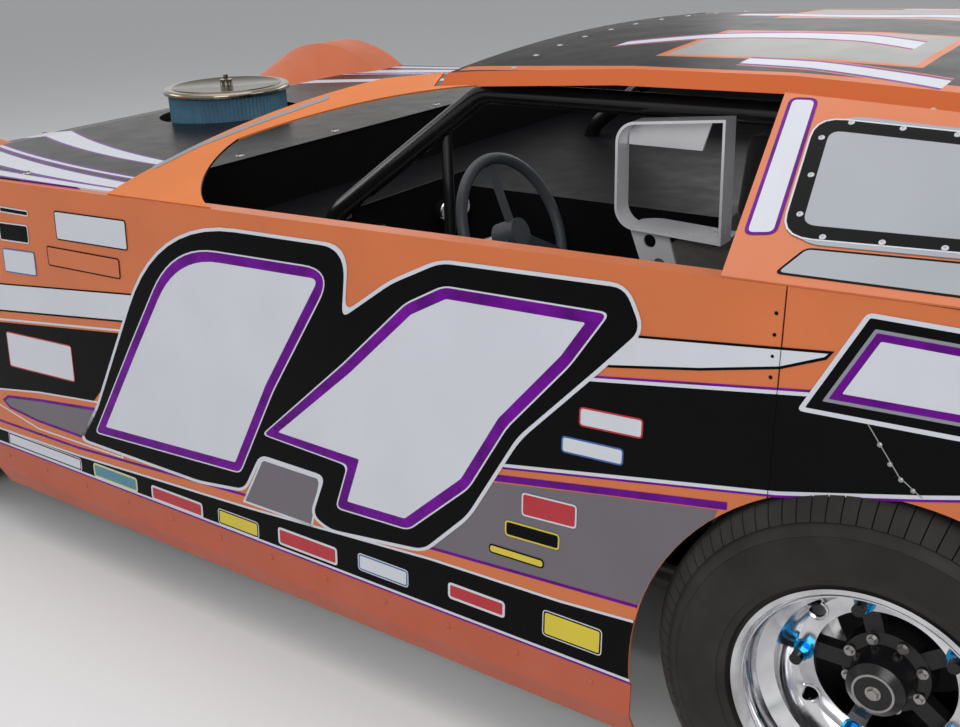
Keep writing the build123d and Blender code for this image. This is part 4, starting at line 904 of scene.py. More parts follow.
@dataclass(frozen=True)
class Sticker:
    """A piece of cut vinyl.

    Attributes:
        corners: Outline as (ahead of the rear axle, height), and the reach of a wide bend.
        fill: Finish of its middle.
        rings: Width and finish of each border, from the outside in.
        rounding: Radius of its corners.
        layer: How many films lie under it.
    """

    corners: tuple[Sequence[float], ...]
    fill: Finish
    rings: tuple[tuple[float, Finish], ...] = ()
    rounding: float = 0.0
    layer: int = 0

    def put(self, piece: Piece, skin: Skin, side: float, film: float = 0.0002) -> None:
        """Lay the sticker on a skin, each border as a film under the next.

        Args:
            piece: Piece that it joins.
            skin: Skin that carries it.
            side: 1 for the left, -1 for the right.
            film: Thickness of the vinyl.
        """
        inset = 0.0
        films = [*self.rings, (0.0, self.fill)]
        for number, (width, finish) in enumerate(films):
            corners = shrunk(self.corners, inset) if inset else self.corners
            rounding = max(self.rounding - inset, self.rounding * 0.25)
            shape = outline(corners, rounding)
            raised = bmesh.ops.extrude_face_region(shape, geom=list(shape.faces))
            tops = [part for part in raised["geom"] if isinstance(part, bmesh.types.BMVert)]
            bmesh.ops.translate(shape, verts=shape.verts, vec=(0, 0, film * (self.layer + number * 0.5)))
            bmesh.ops.translate(shape, verts=tops, vec=(0, 0, film))
            bmesh.ops.recalc_face_normals(shape, faces=shape.faces)
            piece.add(shape, finish, skin.matrix(side))
            inset += width


LOW_DECALS = (
    (2.155, 1.862, 0.256, 0.034, WHITE_VINYL, BLACK_VINYL),
    (1.816, 1.658, 0.256, 0.036, TEAL_VINYL, YELLOW_VINYL),
    (1.609, 1.439, 0.254, 0.036, RED_VINYL, WHITE_VINYL),
    (1.390, 1.266, 0.256, 0.038, YELLOW_VINYL, BLACK_VINYL),
    (1.209, 1.045, 0.262, 0.040, RED_VINYL, WHITE_VINYL),
    (0.990, 0.863, 0.272, 0.038, WHITE_VINYL, BLUE_VINYL),
    (0.768, 0.640, 0.284, 0.034, RED_VINYL, WHITE_VINYL),
    (0.560, 0.440, 0.280, 0.052, YELLOW_VINYL, BLACK_VINYL),
)
HIGH_DECALS = (
    (0.500, 0.384, 0.692, 0.034, WHITE_VINYL, RED_VINYL),
    (0.532, 0.416, 0.638, 0.030, WHITE_VINYL, BLUE_VINYL),
    (0.608, 0.498, 0.500, 0.044, RED_VINYL, WHITE_VINYL),
    (0.642, 0.530, 0.452, 0.030, BLACK_VINYL, YELLOW_VINYL),
    (0.676, 0.560, 0.408, 0.018, YELLOW_VINYL, BLACK_VINYL),
    (1.858, 1.612, 0.822, 0.066, WHITE_VINYL, BLACK_VINYL),
    (1.900, 1.645, 0.757, 0.046, BODY, BLACK_VINYL),
    (2.078, 1.964, 0.792, 0.044, BLACK_VINYL, WHITE_VINYL),
    (2.075, 1.950, 0.716, 0.058, WHITE_VINYL, BLUE_VINYL),
    (2.106, 1.850, 0.474, 0.090, WHITE_VINYL, RED_VINYL),
    (2.066, 1.956, 0.860, 0.014, BLACK_VINYL, WHITE_VINYL),
)


@dataclass
class SideGraphics:
    """Stripes, panels, blank number boards and small blank decals on the car's sides."""

    rear_arch: tuple[float, float, float] = (-0.016, 0.296, 0.4045)
    front_arch: tuple[float, float, float] = (2.616, 0.318, -0.406)
    front: float = 2.210
    back: float = -0.396
    rocker_top: float = 0.250
    decal_slope: float = 0.12

    @staticmethod
    def arch_edge(arch: tuple[float, float, float], low: float, high: float, steps: int = 10) -> list[Point]:
        """Return points of a wheel arch's edge between two heights.

        Args:
            arch: Middle and radius of the arch, negative where its rear half is meant.
            low: First height.
            high: Last height.
            steps: Number of runs.

        Returns:
            The points, from low to high.
        """
        ahead, height, radius = arch
        first = math.asin((low - height) / abs(radius))
        last = math.asin((high - height) / abs(radius))
        turns = [first + (last - first) * index / steps for index in range(steps + 1)]
        return [(ahead + radius * math.cos(turn), height + abs(radius) * math.sin(turn)) for turn in turns]

    def stripes(self) -> list[Sticker]:
        """Return the long stripes and coloured panels."""
        return [*self._low_stripes(), *self._middle_stripes(), *self._front_stripes()]

    def _low_stripes(self) -> list[Sticker]:
        """Return the band above the rocker and the panel ahead of the rear arch.

        Returns:
            The stickers, from the lowest up.
        """
        low, front = self.rocker_top, self.front
        band_top = ((front, 0.293), (1.866, 0.298), (1.290, 0.323), (0.811, 0.354), (0.526, 0.361),
                    (0.383, 0.371))
        band = (*self.arch_edge(self.rear_arch, low, 0.371), *reversed(band_top[:-1]), (front, low))
        edge_line = ((front, 0.316), (1.871, 0.319), (0.811, 0.378), (0.377, 0.402))
        panel_top = ((0.660, 0.547), (0.440, 0.582), (0.250, 0.611))
        panel = (*self.arch_edge(self.rear_arch, 0.403, 0.596), *reversed(panel_top), (0.900, 0.500),
                 (0.900, 0.372))
        foot = ((1.310, 0.330), (1.245, 0.447), (1.079, 0.446), (1.110, 0.330))
        return [
            Sticker(band, BLACK_VINYL, layer=1),
            Sticker(ribbon(band_top, 0.005), WHITE_VINYL, layer=2),
            Sticker(ribbon(((front, low + 0.006), (0.384, low + 0.006)), 0.005), WHITE_VINYL, layer=2),
            Sticker(ribbon(((front, low + 0.001), (0.384, low + 0.001)), 0.004), PURPLE_VINYL, layer=2),
            Sticker(panel, TAUPE_VINYL, layer=1),
            Sticker(foot, TAUPE_VINYL, ((0.005, WHITE_VINYL),), layer=2),
            Sticker(ribbon(edge_line, 0.006), PURPLE_VINYL, layer=2),
            Sticker(ribbon(((0.680, 0.560), (0.440, 0.597), (0.236, 0.628)), 0.013), PURPLE_VINYL, layer=2),
        ]

    def _middle_stripes(self) -> list[Sticker]:
        """Return the black band behind the number, with its edges, and the long swoosh.

        Returns:
            The stickers, from the lowest up.
        """
        top = ((0.640, 0.756), (0.478, 0.779), (0.130, 0.829), (-0.200, 0.880), (self.back, 0.907))
        under = ((0.700, 0.572), (0.385, 0.624), (0.160, 0.661), (-0.042, 0.710), (-0.270, 0.770),
                 (self.back, 0.800))
        swoosh = (
            *self.arch_edge(self.front_arch, 0.589, 0.654, 5), (0.098, 0.896), (0.108, 0.882), (0.173, 0.855),
            (0.296, 0.828), (0.444, 0.803), (1.671, 0.663),
        )
        return [
            Sticker((*top, *reversed(under)), BLACK_VINYL, layer=1),
            Sticker(ribbon(top, 0.006), WHITE_VINYL, layer=2),
            Sticker(ribbon([(ahead, up + 0.004) for ahead, up in top], 0.004), PURPLE_VINYL, layer=2),
            Sticker(ribbon([(ahead, up + 0.006) for ahead, up in under], 0.006), WHITE_VINYL, layer=2),
            Sticker(ribbon(under, 0.004), PURPLE_VINYL, layer=2),
            Sticker(swoosh, WHITE_VINYL, ((0.0045, BLACK_VINYL),), layer=3),
        ]

    def _front_stripes(self) -> list[Sticker]:
        """Return the black panel ahead of the number, with its spear.

        Returns:
            The stickers, from the lowest up.
        """
        black = (*self.arch_edge(self.front_arch, 0.384, 0.5635), (1.685, 0.635), (1.600, 0.645),
                 (1.800, 0.440), (2.000, 0.420), (2.160, 0.392))
        line = ((2.299, 0.5726), (2.125, 0.593), (1.680, 0.645), (1.600, 0.654))
        outer = ((1.700, 0.462), (2.000, 0.430), (2.167, 0.404), (2.192, 0.380), (2.177, 0.356),
                 (2.020, 0.327), (1.700, 0.330))
        inner = ((1.700, 0.446), (2.000, 0.411), (2.135, 0.392), (2.160, 0.375), (2.135, 0.358),
                 (2.020, 0.347), (1.700, 0.345))
        tip = ((1.700, 0.438), (2.000, 0.404), (2.130, 0.386), (2.149, 0.375), (2.130, 0.364), (2.020, 0.354),
               (1.700, 0.352))
        return [
            Sticker(black, BLACK_VINYL, layer=1),
            Sticker(ribbon(line, 0.005), WHITE_VINYL, layer=2),
            Sticker(outer, STRIPE_ORANGE, ((0.004, WHITE_VINYL),), layer=2),
            Sticker(inner, PURPLE_VINYL, layer=4),
            Sticker(tip, TAUPE_VINYL, layer=5),
        ]

    def boards(self) -> list[Sticker]:
        """Return the blank boards in place of the race number and of the name.

        Returns:
            The stickers, from the lowest up.
        """
        backing = (
            (1.859, 0.338), (1.783, 0.436), (1.516, 0.914, 0.240), (0.988, 0.926, 0.075), (1.003, 0.799),
            (0.894, 0.876), (0.783, 0.930), (0.423, 0.942), (0.388, 0.872), (0.465, 0.791), (0.614, 0.639),
            (0.719, 0.462), (0.823, 0.360), (1.063, 0.332), (1.116, 0.354), (1.079, 0.446), (1.245, 0.447),
            (1.299, 0.355), (1.443, 0.337),
        )
        left = ((1.795, 0.372), (1.632, 0.622), (1.470, 0.864, 0.150), (1.022, 0.876, 0.080),
                (1.200, 0.600), (1.310, 0.395))
        right = ((1.240, 0.500), (1.010, 0.700), (0.860, 0.840), (0.775, 0.885), (0.450, 0.892),
                 (0.520, 0.790), (0.640, 0.655), (0.720, 0.520), (0.860, 0.396), (1.045, 0.390),
                 (1.010, 0.490))
        name_board = ((0.143, 0.799), (0.059, 0.959), (-0.330, 0.955), (-0.392, 0.835), (-0.080, 0.805))
        rings = ((0.003, WHITE_VINYL), (0.020, PURPLE_VINYL))
        thin = ((0.007, WHITE_VINYL), (0.014, BLACK_VINYL), (0.005, SILVER_VINYL), (0.011, PURPLE_VINYL))
        return [
            Sticker(backing, BLACK_VINYL, ((0.007, WHITE_VINYL),), 0.030, 5),
            Sticker(left, WHITE_VINYL, rings, 0.018, 7),
            Sticker(right, WHITE_VINYL, rings, 0.018, 7),
            Sticker(name_board, WHITE_VINYL, thin, 0.010, 5),
        ]

    def decals(self) -> list[Sticker]:
        """Return the small blank decals.

        Returns:
            The stickers, from the lowest up.
        """
        made = []
        for front, rear, low, tall, fill, edge in LOW_DECALS:
            corners = ((front, low), (front, low + tall), (rear, low + tall), (rear, low))
            made.append(Sticker(corners, fill, ((0.002, WHITE_VINYL), (0.003, edge)), 0.009, 5))
        for front, rear, low, tall, fill, edge in HIGH_DECALS:
            rise = tall * self.decal_slope
            corners = ((front, low), (front, low + tall), (rear, low + tall + rise), (rear, low + rise))
            made.append(Sticker(corners, fill, ((0.003, edge),), 0.008, 6))
        return made

    def build(self) -> None:
        """Lay all graphics on both sides."""
        sets = (("stripes", self.stripes()), ("boards", self.boards()), ("decals", self.decals()))
        for side_name, side in SIDES:
            for title, stickers in sets:
                piece = Piece(f"side_{title}_{side_name}", slot="body_paint")
                for sticker in stickers:
                    sticker.put(piece, SIDE_SKIN, side)
                piece.done(None)


@dataclass
class UpperGraphics:
    """Border and rivets of the rear side windows, plate below them and strips on the pillars."""

    window: tuple[Point, ...] = ((0.185, 0.097), (0.222, 0.335), (-0.235, 0.290), (-0.540, 0.112))
    plate: tuple[Point, ...] = ((0.200, 0.016), (0.172, 0.072), (-0.420, 0.088), (-0.420, 0.014))
    column: tuple[Point, ...] = ((0.312, 0.392), (0.264, 0.392), (0.223, 0.090), (0.272, 0.082))
    pillar_line: tuple[Point, ...] = ((1.606, 0.096), (1.530, 0.176), (1.416, 0.259), (1.282, 0.347))
    skin_thickness: float = 0.004
    window_sheet: float = 0.002
    rivet_pitch: float = 0.085
    border_reach: float = 0.025
    rivet_reach: float = 0.009
    corner_stretch: float = 1.4

    def build(self) -> None:
        """Lay the graphics on both sides."""
        out = UPPER_SKIN.out.normalized()
        raised = replace(UPPER_SKIN, origin=UPPER_SKIN.origin + out * self.skin_thickness)
        over = replace(raised, origin=raised.origin + out * self.window_sheet)
        for side_name, side in SIDES:
            trim = Piece(f"upper_trim_{side_name}", slot="panel_silver")
            edge = self._grown(self.window, self.border_reach)
            rings = ((0.003, WHITE_VINYL), (0.026, BLACK_VINYL))
            Sticker(edge, SILVER_VINYL, rings, 0.050, 2).put(trim, over, side)
            Sticker(self.plate, SILVER_VINYL, ((0.004, BLACK_VINYL),), 0.012, 4).put(trim, raised, side)
            Sticker(self.column, WHITE_VINYL, ((0.006, PURPLE_VINYL),), 0.016, 4).put(trim, raised, side)
            Sticker(strip(self.pillar_line, 0.008, 0.021), SILVER_VINYL, layer=4).put(trim, raised, side)
            self._rivets(trim, self._grown(self.window, self.rivet_reach), over, side)
            trim.done(None)

    def _grown(self, corners: Sequence[Point], growth: float) -> tuple[Point, ...]:
        """Move corners away from their middle.

        Args:
            corners: Corners in order.
            growth: Distance to move each side.

        Returns:
            The new corners.
        """
        middle = Vector((sum(x for x, _ in corners), sum(y for _, y in corners))) / len(corners)
        grown = []
        for corner in corners:
            ray = Vector(corner) - middle
            grown.append(tuple(middle + ray * (1 + growth * self.corner_stretch / ray.length)))
        return tuple(grown)

    def _rivets(self, piece: Piece, corners: Sequence[Point], skin: Skin, side: float) -> None:
        """Set rivets along an outline.

        Args:
            piece: Piece that they join.
            corners: Outline.
            skin: Skin that carries them.
            side: 1 for the left, -1 for the right.
        """
        for start, end in zip(corners, [*corners[1:], corners[0]]):
            run = Vector(end) - Vector(start)
            count = max(2, round(run.length / self.rivet_pitch))
            for index in range(count):
                spot = Vector(start) + run * (index + 0.5) / count
                place = skin.matrix(side) @ Matrix.Translation((*spot, 0.0010))
                piece.add(rivet(0.0052, 0.0024), WHITE_VINYL, place)
                piece.add(rivet(0.0022, 0.0010), STEEL, place @ Matrix.Translation((0, 0, 0.0022)))


@dataclass
class Tyres:
    """Dirt tyres with cross-cut blocks on the tread."""

    radius: float = 0.348
    width: float = 0.394
    tread_half: float = 0.152
    bead_radius: float = 0.1905
    lip_radius: float = 0.213
    bead_half: float = 0.1755
    block_height: float = 0.004
    cut: float = 0.0010
    pitches: int = 90
    shoulder: float = 0.318
    crown: float = 0.338
    rib_share: float = 0.30

    def profile(self) -> list[Point]:
        """Return the section without the tread's raised blocks.

        Returns:
            The closed section as (radius, place across).
        """
        half = self.width / 2
        base = self.radius - self.block_height
        outer = [
            (self.bead_radius, self.bead_half), (self.lip_radius, self.bead_half),
            (self.lip_radius + 0.003, half - 0.010), (0.227, half - 0.0055), (0.2285, half - 0.0025),
            (0.232, half - 0.0042), (0.250, half - 0.0015), (0.276, half), (0.296, half - 0.0036),
            (0.2975, half - 0.0024), (0.3005, half - 0.0054), (0.313, half - 0.012), (0.326, half - 0.023),
            (0.336, half - 0.034), (base - 0.002, self.tread_half + 0.002),
            (base - 0.0015, self.tread_half * 0.72), (base - 0.0004, self.tread_half * 0.34),
        ]
        inner = [
            (self.radius - 0.018, self.tread_half * 0.5), (self.radius - 0.019, self.tread_half - 0.006),
            (0.300, half - 0.024), (0.262, half - 0.020), (0.225, half - 0.034),
            (self.bead_radius, self.bead_half - 0.026),
        ]
        far = [(radius, -place) for radius, place in reversed(outer)]
        return [*outer, *far, *((radius, -place) for radius, place in reversed(inner)), *inner]

    def build(self) -> None:
        """Make the tyre once and set it on each wheel."""
        for corner in CORNERS:
            piece = Piece(f"treaded_tyre_{corner.name}", f"wheel_{corner.name}", "tyre")
            centre = Matrix.Translation(corner.middle)
            piece.add(self.tyre(), RUBBER, centre @ Matrix.Rotation(math.pi / 2, 4, "X"))
            piece.done(40, [f"tyre_{corner.name}"])

    def tyre(self) -> bmesh.types.BMesh:
        """Return a tyre about the Z axis.

        Returns:
            The tyre.
        """
        rib = self.tread_half * self.rib_share
        shape = turned(self.profile(), self.pitches, closed=True)
        step = math.tau / self.pitches
        rows: dict[tuple[int, int], list[bmesh.types.BMFace]] = {}
        for face in shape.faces:
            middle = face.calc_center_median()
            reach = math.hypot(middle.x, middle.y)
            if reach > self.shoulder and abs(middle.z) > rib or reach > self.crown:
                pitch = int((math.atan2(middle.y, middle.x) % math.tau) / step)
                row = 0 if abs(middle.z) < rib else (1 if middle.z > 0 else -1)
                rows.setdefault((pitch, row), []).append(face)
        for faces in rows.values():
            bmesh.ops.inset_region(shape, faces=faces, thickness=self.cut, depth=self.block_height,
                                   use_even_offset=True, use_boundary=True)
        return shape


@dataclass
class Wheels:
    """Lug nuts, hub bolts and the trim of the aluminium wheels."""

    lug_circle: float = 0.128
    hole_circle: float = 0.137
    ring_face: float = 0.073
    hub_circle: float = 0.061
    hub_face: float = 0.070
    cap_face: float = 0.1257
    lug_nut: tuple[float, float, float] = (0.0125, 0.020, 1.35)
    hub_bolt: tuple[float, float, float] = (0.0062, 0.007, 1.5)
    cap_bolt: tuple[float, float, float] = (0.0095, 0.006, 1.3)
    stud: tuple[Point, ...] = ((0, 0.0205), (0.0055, 0.0205), (0.0055, 0.026), (0, 0.028))
    collar: tuple[Point, ...] = (
        (0.0122, -0.004), (0.0180, -0.0002), (0.0175, 0.0025), (0.0150, 0.0035), (0.0124, 0.0015),
    )
    crown: tuple[Point, ...] = ((0.029, -0.0004), (0.0335, -0.0004), (0.0330, 0.0016), (0.0295, 0.0016))

    def build(self) -> None:
        """Dress each wheel."""
        for corner in CORNERS:
            piece = Piece(f"wheel_nuts_{corner.name}", f"wheel_{corner.name}")
            for spot in self._circle(corner, self.lug_circle, self.ring_face, 5):
                piece.add(bolt(*self.lug_nut), BLUE_ANODISING, spot)
                piece.add(turned(self.stud, 12), STEEL, spot)
            for spot in self._circle(corner, self.hole_circle, self.ring_face, 5, 0.5):
                piece.add(turned(self.collar, 24, closed=True), POLISHED, spot)
            for spot in self._circle(corner, self.hub_circle, self.hub_face, 8, 0.5):
                piece.add(bolt(*self.hub_bolt), STEEL, spot)
            cap = aimed(corner.middle + Vector((0, corner.side * self.cap_face, 0)), (0, corner.side, 0))
            piece.add(turned(self.crown, 32, closed=True), STEEL, cap)
            piece.add(bolt(*self.cap_bolt), STEEL, cap)
            piece.done(30)

    @staticmethod
    def _circle(corner: Corner, radius: float, out: float, count: int, shift: float = 0.0) -> list[Matrix]:
        """Return places on a circle about the wheel's axis, that look away from the car.

        Args:
            corner: Place of the wheel.
            radius: Radius of the circle.
            out: Distance from the wheel's middle.
            count: Number of places.
            shift: Share of a step by which they are turned.

        Returns:
            The places.
        """
        spots = []
        for index in range(count):
            turn = math.tau * (index + shift) / count
            ray = Vector((math.cos(turn) * radius, corner.side * out, math.sin(turn) * radius))
            spots.append(aimed(corner.middle + ray, (0, corner.side, 0)))
        return spots


@dataclass
class Upholstery:
    """Padding of the seat and of the head restraint, swelled as cloth.

    Attributes:
        pads: Node of each pad, the furthest that its points may move, and its fill.
        voxel: Edge of the voxels that even its mesh out.
        frames: Frames of the cloth's run.
        pressure: Pressure inside the cloth.
        softness: Share of the cloth's movement that is kept.
    """

    pads: tuple[tuple[str, float, float], ...] = (("seat_cushion", 0.010, 0.6), ("head_pad", 0.008, 0.7))
    voxel: float = 0.006
    frames: int = 20
    pressure: float = 4.0
    softness: float = 0.5

    def build(self) -> None:
        """Make both pads."""
        for node, cap, fill in self.pads:
            pad = self._pad(node, cap)
            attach(pad, "chassis")
            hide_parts(node)
            log.info("%s: %d faces", pad.name, len(pad.data.polygons))

    def _pad(self, node: str, cap: float) -> bpy.types.Object:
        """Return a swelled pad in the place of a node.

        Args:
            node: Node that it stands for.
            cap: Furthest that a point may move.

        Returns:
            The pad.
        """
        shape = bmesh.new()
        shape.from_mesh(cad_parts[node].data)
        bmesh.ops.remove_doubles(shape, verts=shape.verts, dist=0.0001)
        data = bpy.data.meshes.new(f"{node}_cloth")
        shape.to_mesh(data)
        shape.free()
        pad = bpy.data.objects.new(f"{node}_cloth", data)
        bpy.context.scene.collection.objects.link(pad)
        self._applied(pad, "REMESH", mode="VOXEL", voxel_size=self.voxel)
        self._swell(pad, cap)
        self._applied(pad, "SUBSURF", levels=1, render_levels=1)
        pad.data.materials.clear()
        pad.data.materials.append(CLOTH.material())
        pad.data.shade_smooth()
        return pad

    def _swell(self, pad: bpy.types.Object, cap: float) -> None:
        """Blow the pad up as cloth under pressure and cap its movement.

        Args:
            pad: The pad.
            cap: Furthest that a point may move.
        """
        rest = [vertex.co.copy() for vertex in pad.data.vertices]
        cloth = pad.modifiers.new("cloth", "CLOTH")
        cloth.settings.use_pressure = True
        cloth.settings.uniform_pressure_force = self.pressure
        cloth.settings.effector_weights.gravity = 0.0
        for number in range(1, self.frames + 1):
            bpy.context.scene.frame_set(number)
        dg = bpy.context.evaluated_depsgraph_get()
        blown = [vertex.co.copy() for vertex in pad.evaluated_get(dg).data.vertices]
        pad.modifiers.remove(cloth)
        for vertex, start, end in zip(pad.data.vertices, rest, blown):
            move = end - start
            if move.length > cap:
                move *= cap / move.length
            vertex.co = start + move * self.softness

    @staticmethod
    def _applied(made: bpy.types.Object, kind: str, **settings: object) -> None:
        """Add a modifier and apply it.

        Args:
            made: Object to change.
            kind: Blender's identifier of the modifier.
            **settings: Properties to set on it.
        """
        modifier = made.modifiers.new(kind.lower(), kind)
        for key, value in settings.items():
            setattr(modifier, key, value)
        dg = bpy.context.evaluated_depsgraph_get()
        result = bpy.data.meshes.new_from_object(made.evaluated_get(dg))
        made.modifiers.remove(modifier)
        made.data = result


@dataclass
class AirCleanerTrim:
    """Pleats and lid ring of the air cleaner."""

    pleats: int = 90
    pleat_depth: float = 0.007
    cloth: float = 0.004
    lid_drop: float = 0.030

    def build(self) -> None:
        """Make the pleated ring and the lid's trim."""
        low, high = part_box("air_filter")
        centre = (Vector(low) + Vector(high)) / 2
        radius = (high[0] - low[0]) / 2
        piece = Piece("pleated_filter", slot="filter_blue")
        ring = bmesh.new()
        bmesh.ops.create_cone(ring, cap_ends=False, segments=self.pleats * 2, radius1=radius, radius2=radius,
                              depth=high[2] - low[2])
        for vertex in ring.verts:
            turn = math.atan2(vertex.co.y, vertex.co.x) % math.tau
            if round(turn / math.tau * self.pleats * 2) % 2:
                vertex.co.xy *= 1 - self.pleat_depth / radius
        bmesh.ops.solidify(ring, geom=ring.faces, thickness=self.cloth)
        bmesh.ops.recalc_face_normals(ring, faces=ring.faces)
        piece.add(ring, FILTER, Matrix.Translation(centre))
        piece.done(None, ["air_filter"])
        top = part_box("air_cleaner")[1][2] - self.lid_drop
        lid = Piece("air_cleaner_lid_trim", slot="chrome_lid")
        dish = turned([(0.020, 0.0004), (0.150, 0.0004), (0.152, 0.0020), (0.158, 0.0022), (0.160, 0.0002),
                       (0.020, 0.0002)], 72, closed=True)
        lid.add(dish, BRONZE_CHROME, Matrix.Translation((centre.x, centre.y, top)))
        lid.done(40)


@dataclass(frozen=True)
class ButtonRow:
    """A row of buttons on a lid.

    Attributes:
        node: Node that carries it.
        count: Number of buttons.
        start: Place of the first along X and Y.
        step: Step from one to the next.
        radius: Radius of the buttons.
        bow: Step along X that grows with the square of a button's number.
    """

    node: str
    count: int
    start: Point
    step: Point
    radius: float
    bow: float = 0.0


@dataclass
class Fasteners:
    """Bolts, rivets and quarter-turn buttons that hold the panels."""

    crack: tuple[Point, ...] = ((0.040, 0.802), (-0.010, 0.736), (-0.044, 0.713))
    crack_rivets: tuple[Point, ...] = ((0.022, 0.775), (0.005, 0.750), (-0.012, 0.731), (-0.030, 0.719))
    rows: tuple[ButtonRow, ...] = (
        ButtonRow("roof", 5, (-0.385, 0.06), (0.0, 0.125), 0.007, -0.004),
        ButtonRow("roof", 6, (-0.50, 0.640), (-0.19, 0.0), 0.005),
        ButtonRow("hood", 2, (0.345, 0.22), (0.0, 0.34), 0.011),
        ButtonRow("hood", 1, (0.345, 0.84), (0.0, 0.0), 0.011),
        ButtonRow("hood", 2, (1.500, 0.30), (0.0, 0.42), 0.011),
        ButtonRow("hood", 2, (0.700, 0.90), (0.400, -0.02), 0.011),
        ButtonRow("rear_deck", 7, (-1.26, 0.86), (-0.19, 0.0), 0.006),
        ButtonRow("rear_deck", 4, (-1.215, 0.10), (0.0, 0.20), 0.006),
        ButtonRow("nose", 5, (1.62, 0.10), (0.0, 0.15), 0.008),
        ButtonRow("spoiler", 6, (-2.10, 0.12), (0.0, 0.14), 0.006),
    )
    slotted: float = 0.010
    rocker_bolts: int = 12
    rocker_start: Point = (0.46, 0.222)
    rocker_step: float = 0.155
    seam_rivets: int = 9
    seam_start: Point = (0.186, 0.68)
    seam_step: float = 0.032

    def build(self) -> None:
        """Set the rows of fasteners."""
        for side_name, side in SIDES:
            row = Piece(f"body_fasteners_{side_name}", slot="steel")
            ahead, up = self.rocker_start
            for index in range(self.rocker_bolts):
                self._on_side(row, (ahead + index * self.rocker_step, up), side, ROCKER, 0.0065)
            ahead, up = self.seam_start
            for index in range(self.seam_rivets):
                self._on_side(row, (ahead, up + index * self.seam_step), side, BLACK_VINYL, 0.003)
            for spot in self.crack_rivets:
                self._on_side(row, spot, side, STEEL, 0.004)
            Sticker(strip(self.crack, 0.0, 0.0016), STEEL, layer=7).put(row, SIDE_SKIN, side)
            seam = ribbon(((0.1745, 0.972), (0.1735, 0.972)), 0.350)
            Sticker(seam, BLACK_VINYL, layer=7).put(row, SIDE_SKIN, side)
            row.done(30)
        self._buttons()

    def _buttons(self) -> None:
        """Drop rivets and quarter-turn buttons onto the lids, the roof and the spoiler."""
        buttons = Piece("lid_fasteners", slot="steel")
        for _, side in SIDES:
            for row in self.rows:
                for index in range(row.count):
                    ahead = row.start[0] + index * row.step[0] + index * index * row.bow
                    across = row.start[1] + index * row.step[1]
                    self._dropped(buttons, row.node, (ahead, side * across), row.radius)
        buttons.done(30)

    def _dropped(self, piece: Piece, node: str, place: Point, radius: float) -> None:
        """Set a button where a plumb line meets a node, if it does.

        Args:
            piece: Piece that it joins.
            node: Node that carries it.
            place: Place along X and Y.
            radius: Radius of the button.
        """
        met, spot, normal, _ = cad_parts[node].ray_cast(Vector((*place, 3.0)), Vector((0, 0, -1)))
        if not met:
            return
        where = aimed(spot - normal * 0.0003, normal)
        piece.add(rivet(radius, radius * 0.35), STEEL, where)
        if radius > self.slotted:
            # Painted shade: a black bar stands for the dark groove of the button's slot.
            slot_shade_lift = Matrix.Translation((0, 0, radius * 0.33))
            piece.add(block((radius * 1.2, 0.0016, 0.0022)), BLACK_VINYL, where @ slot_shade_lift)

    @staticmethod
    def _on_side(piece: Piece, spot: Point, side: float, finish: Finish, radius: float) -> None:
        """Set one rivet on the side.

        Args:
            piece: Piece that it joins.
            spot: Distance ahead of the rear axle and height.
            side: 1 for the left, -1 for the right.
            finish: Finish of the rivet.
            radius: Radius of its head.
        """
        place = SIDE_SKIN.matrix(side) @ Matrix.Translation((*spot, 0.0004))
        piece.add(rivet(radius, radius * 0.45), finish, place)


@dataclass
class GrilleMesh:
    """Square wire mesh behind the nose's mouth."""

    half_width: float = 0.424
    low: float = 0.168
    high: float = 0.307
    pitch: float = 0.0165
    wire: float = 0.0011
    set_back: float = 0.0065
    weave: float = 0.0012

    def build(self) -> None:
        """Stretch the mesh between the mouth's upper and lower edges."""
        foot, head = (self._inner(level) for level in (self.low, self.high))
        rise = head - foot
        mesh = Piece("grille_mesh", slot="steel")
        for index in range(round(2 * self.half_width / self.pitch) + 1):
            across = index * self.pitch - self.half_width
            mesh.add(self._rod(rise.length), STEEL, aimed(foot + Vector((0, across, 0)), rise))
        rows = round(rise.length / self.pitch)
        for index in range(rows + 1):
            start = foot + rise * (index / rows) + Vector((-self.weave, -self.half_width, 0))
            mesh.add(self._rod(2 * self.half_width), STEEL, aimed(start, (0, 1, 0)))
        mesh.done(60)

    def _inner(self, level: float) -> Vector:
        """Return a place just behind the nose's skin on the middle plane.

        Args:
            level: Height of the place.

        Returns:
            The place.
        """
        met, spot, _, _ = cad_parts["nose"].ray_cast(Vector((4.0, 0, level)), Vector((-1, 0, 0)))
        ahead = spot.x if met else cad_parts["nose"].bound_box[4][0]
        return Vector((ahead - self.set_back, 0, level))

    def _rod(self, length: float) -> bmesh.types.BMesh:
        """Return a wire that stands on the origin along Z.

        Args:
            length: Length of the wire.

        Returns:
            The wire.
        """
        shape = bmesh.new()
        bmesh.ops.create_cone(shape, cap_ends=True, segments=6, radius1=self.wire, radius2=self.wire,
                              depth=length, matrix=Matrix.Translation((0, 0, length / 2)))
        return shape


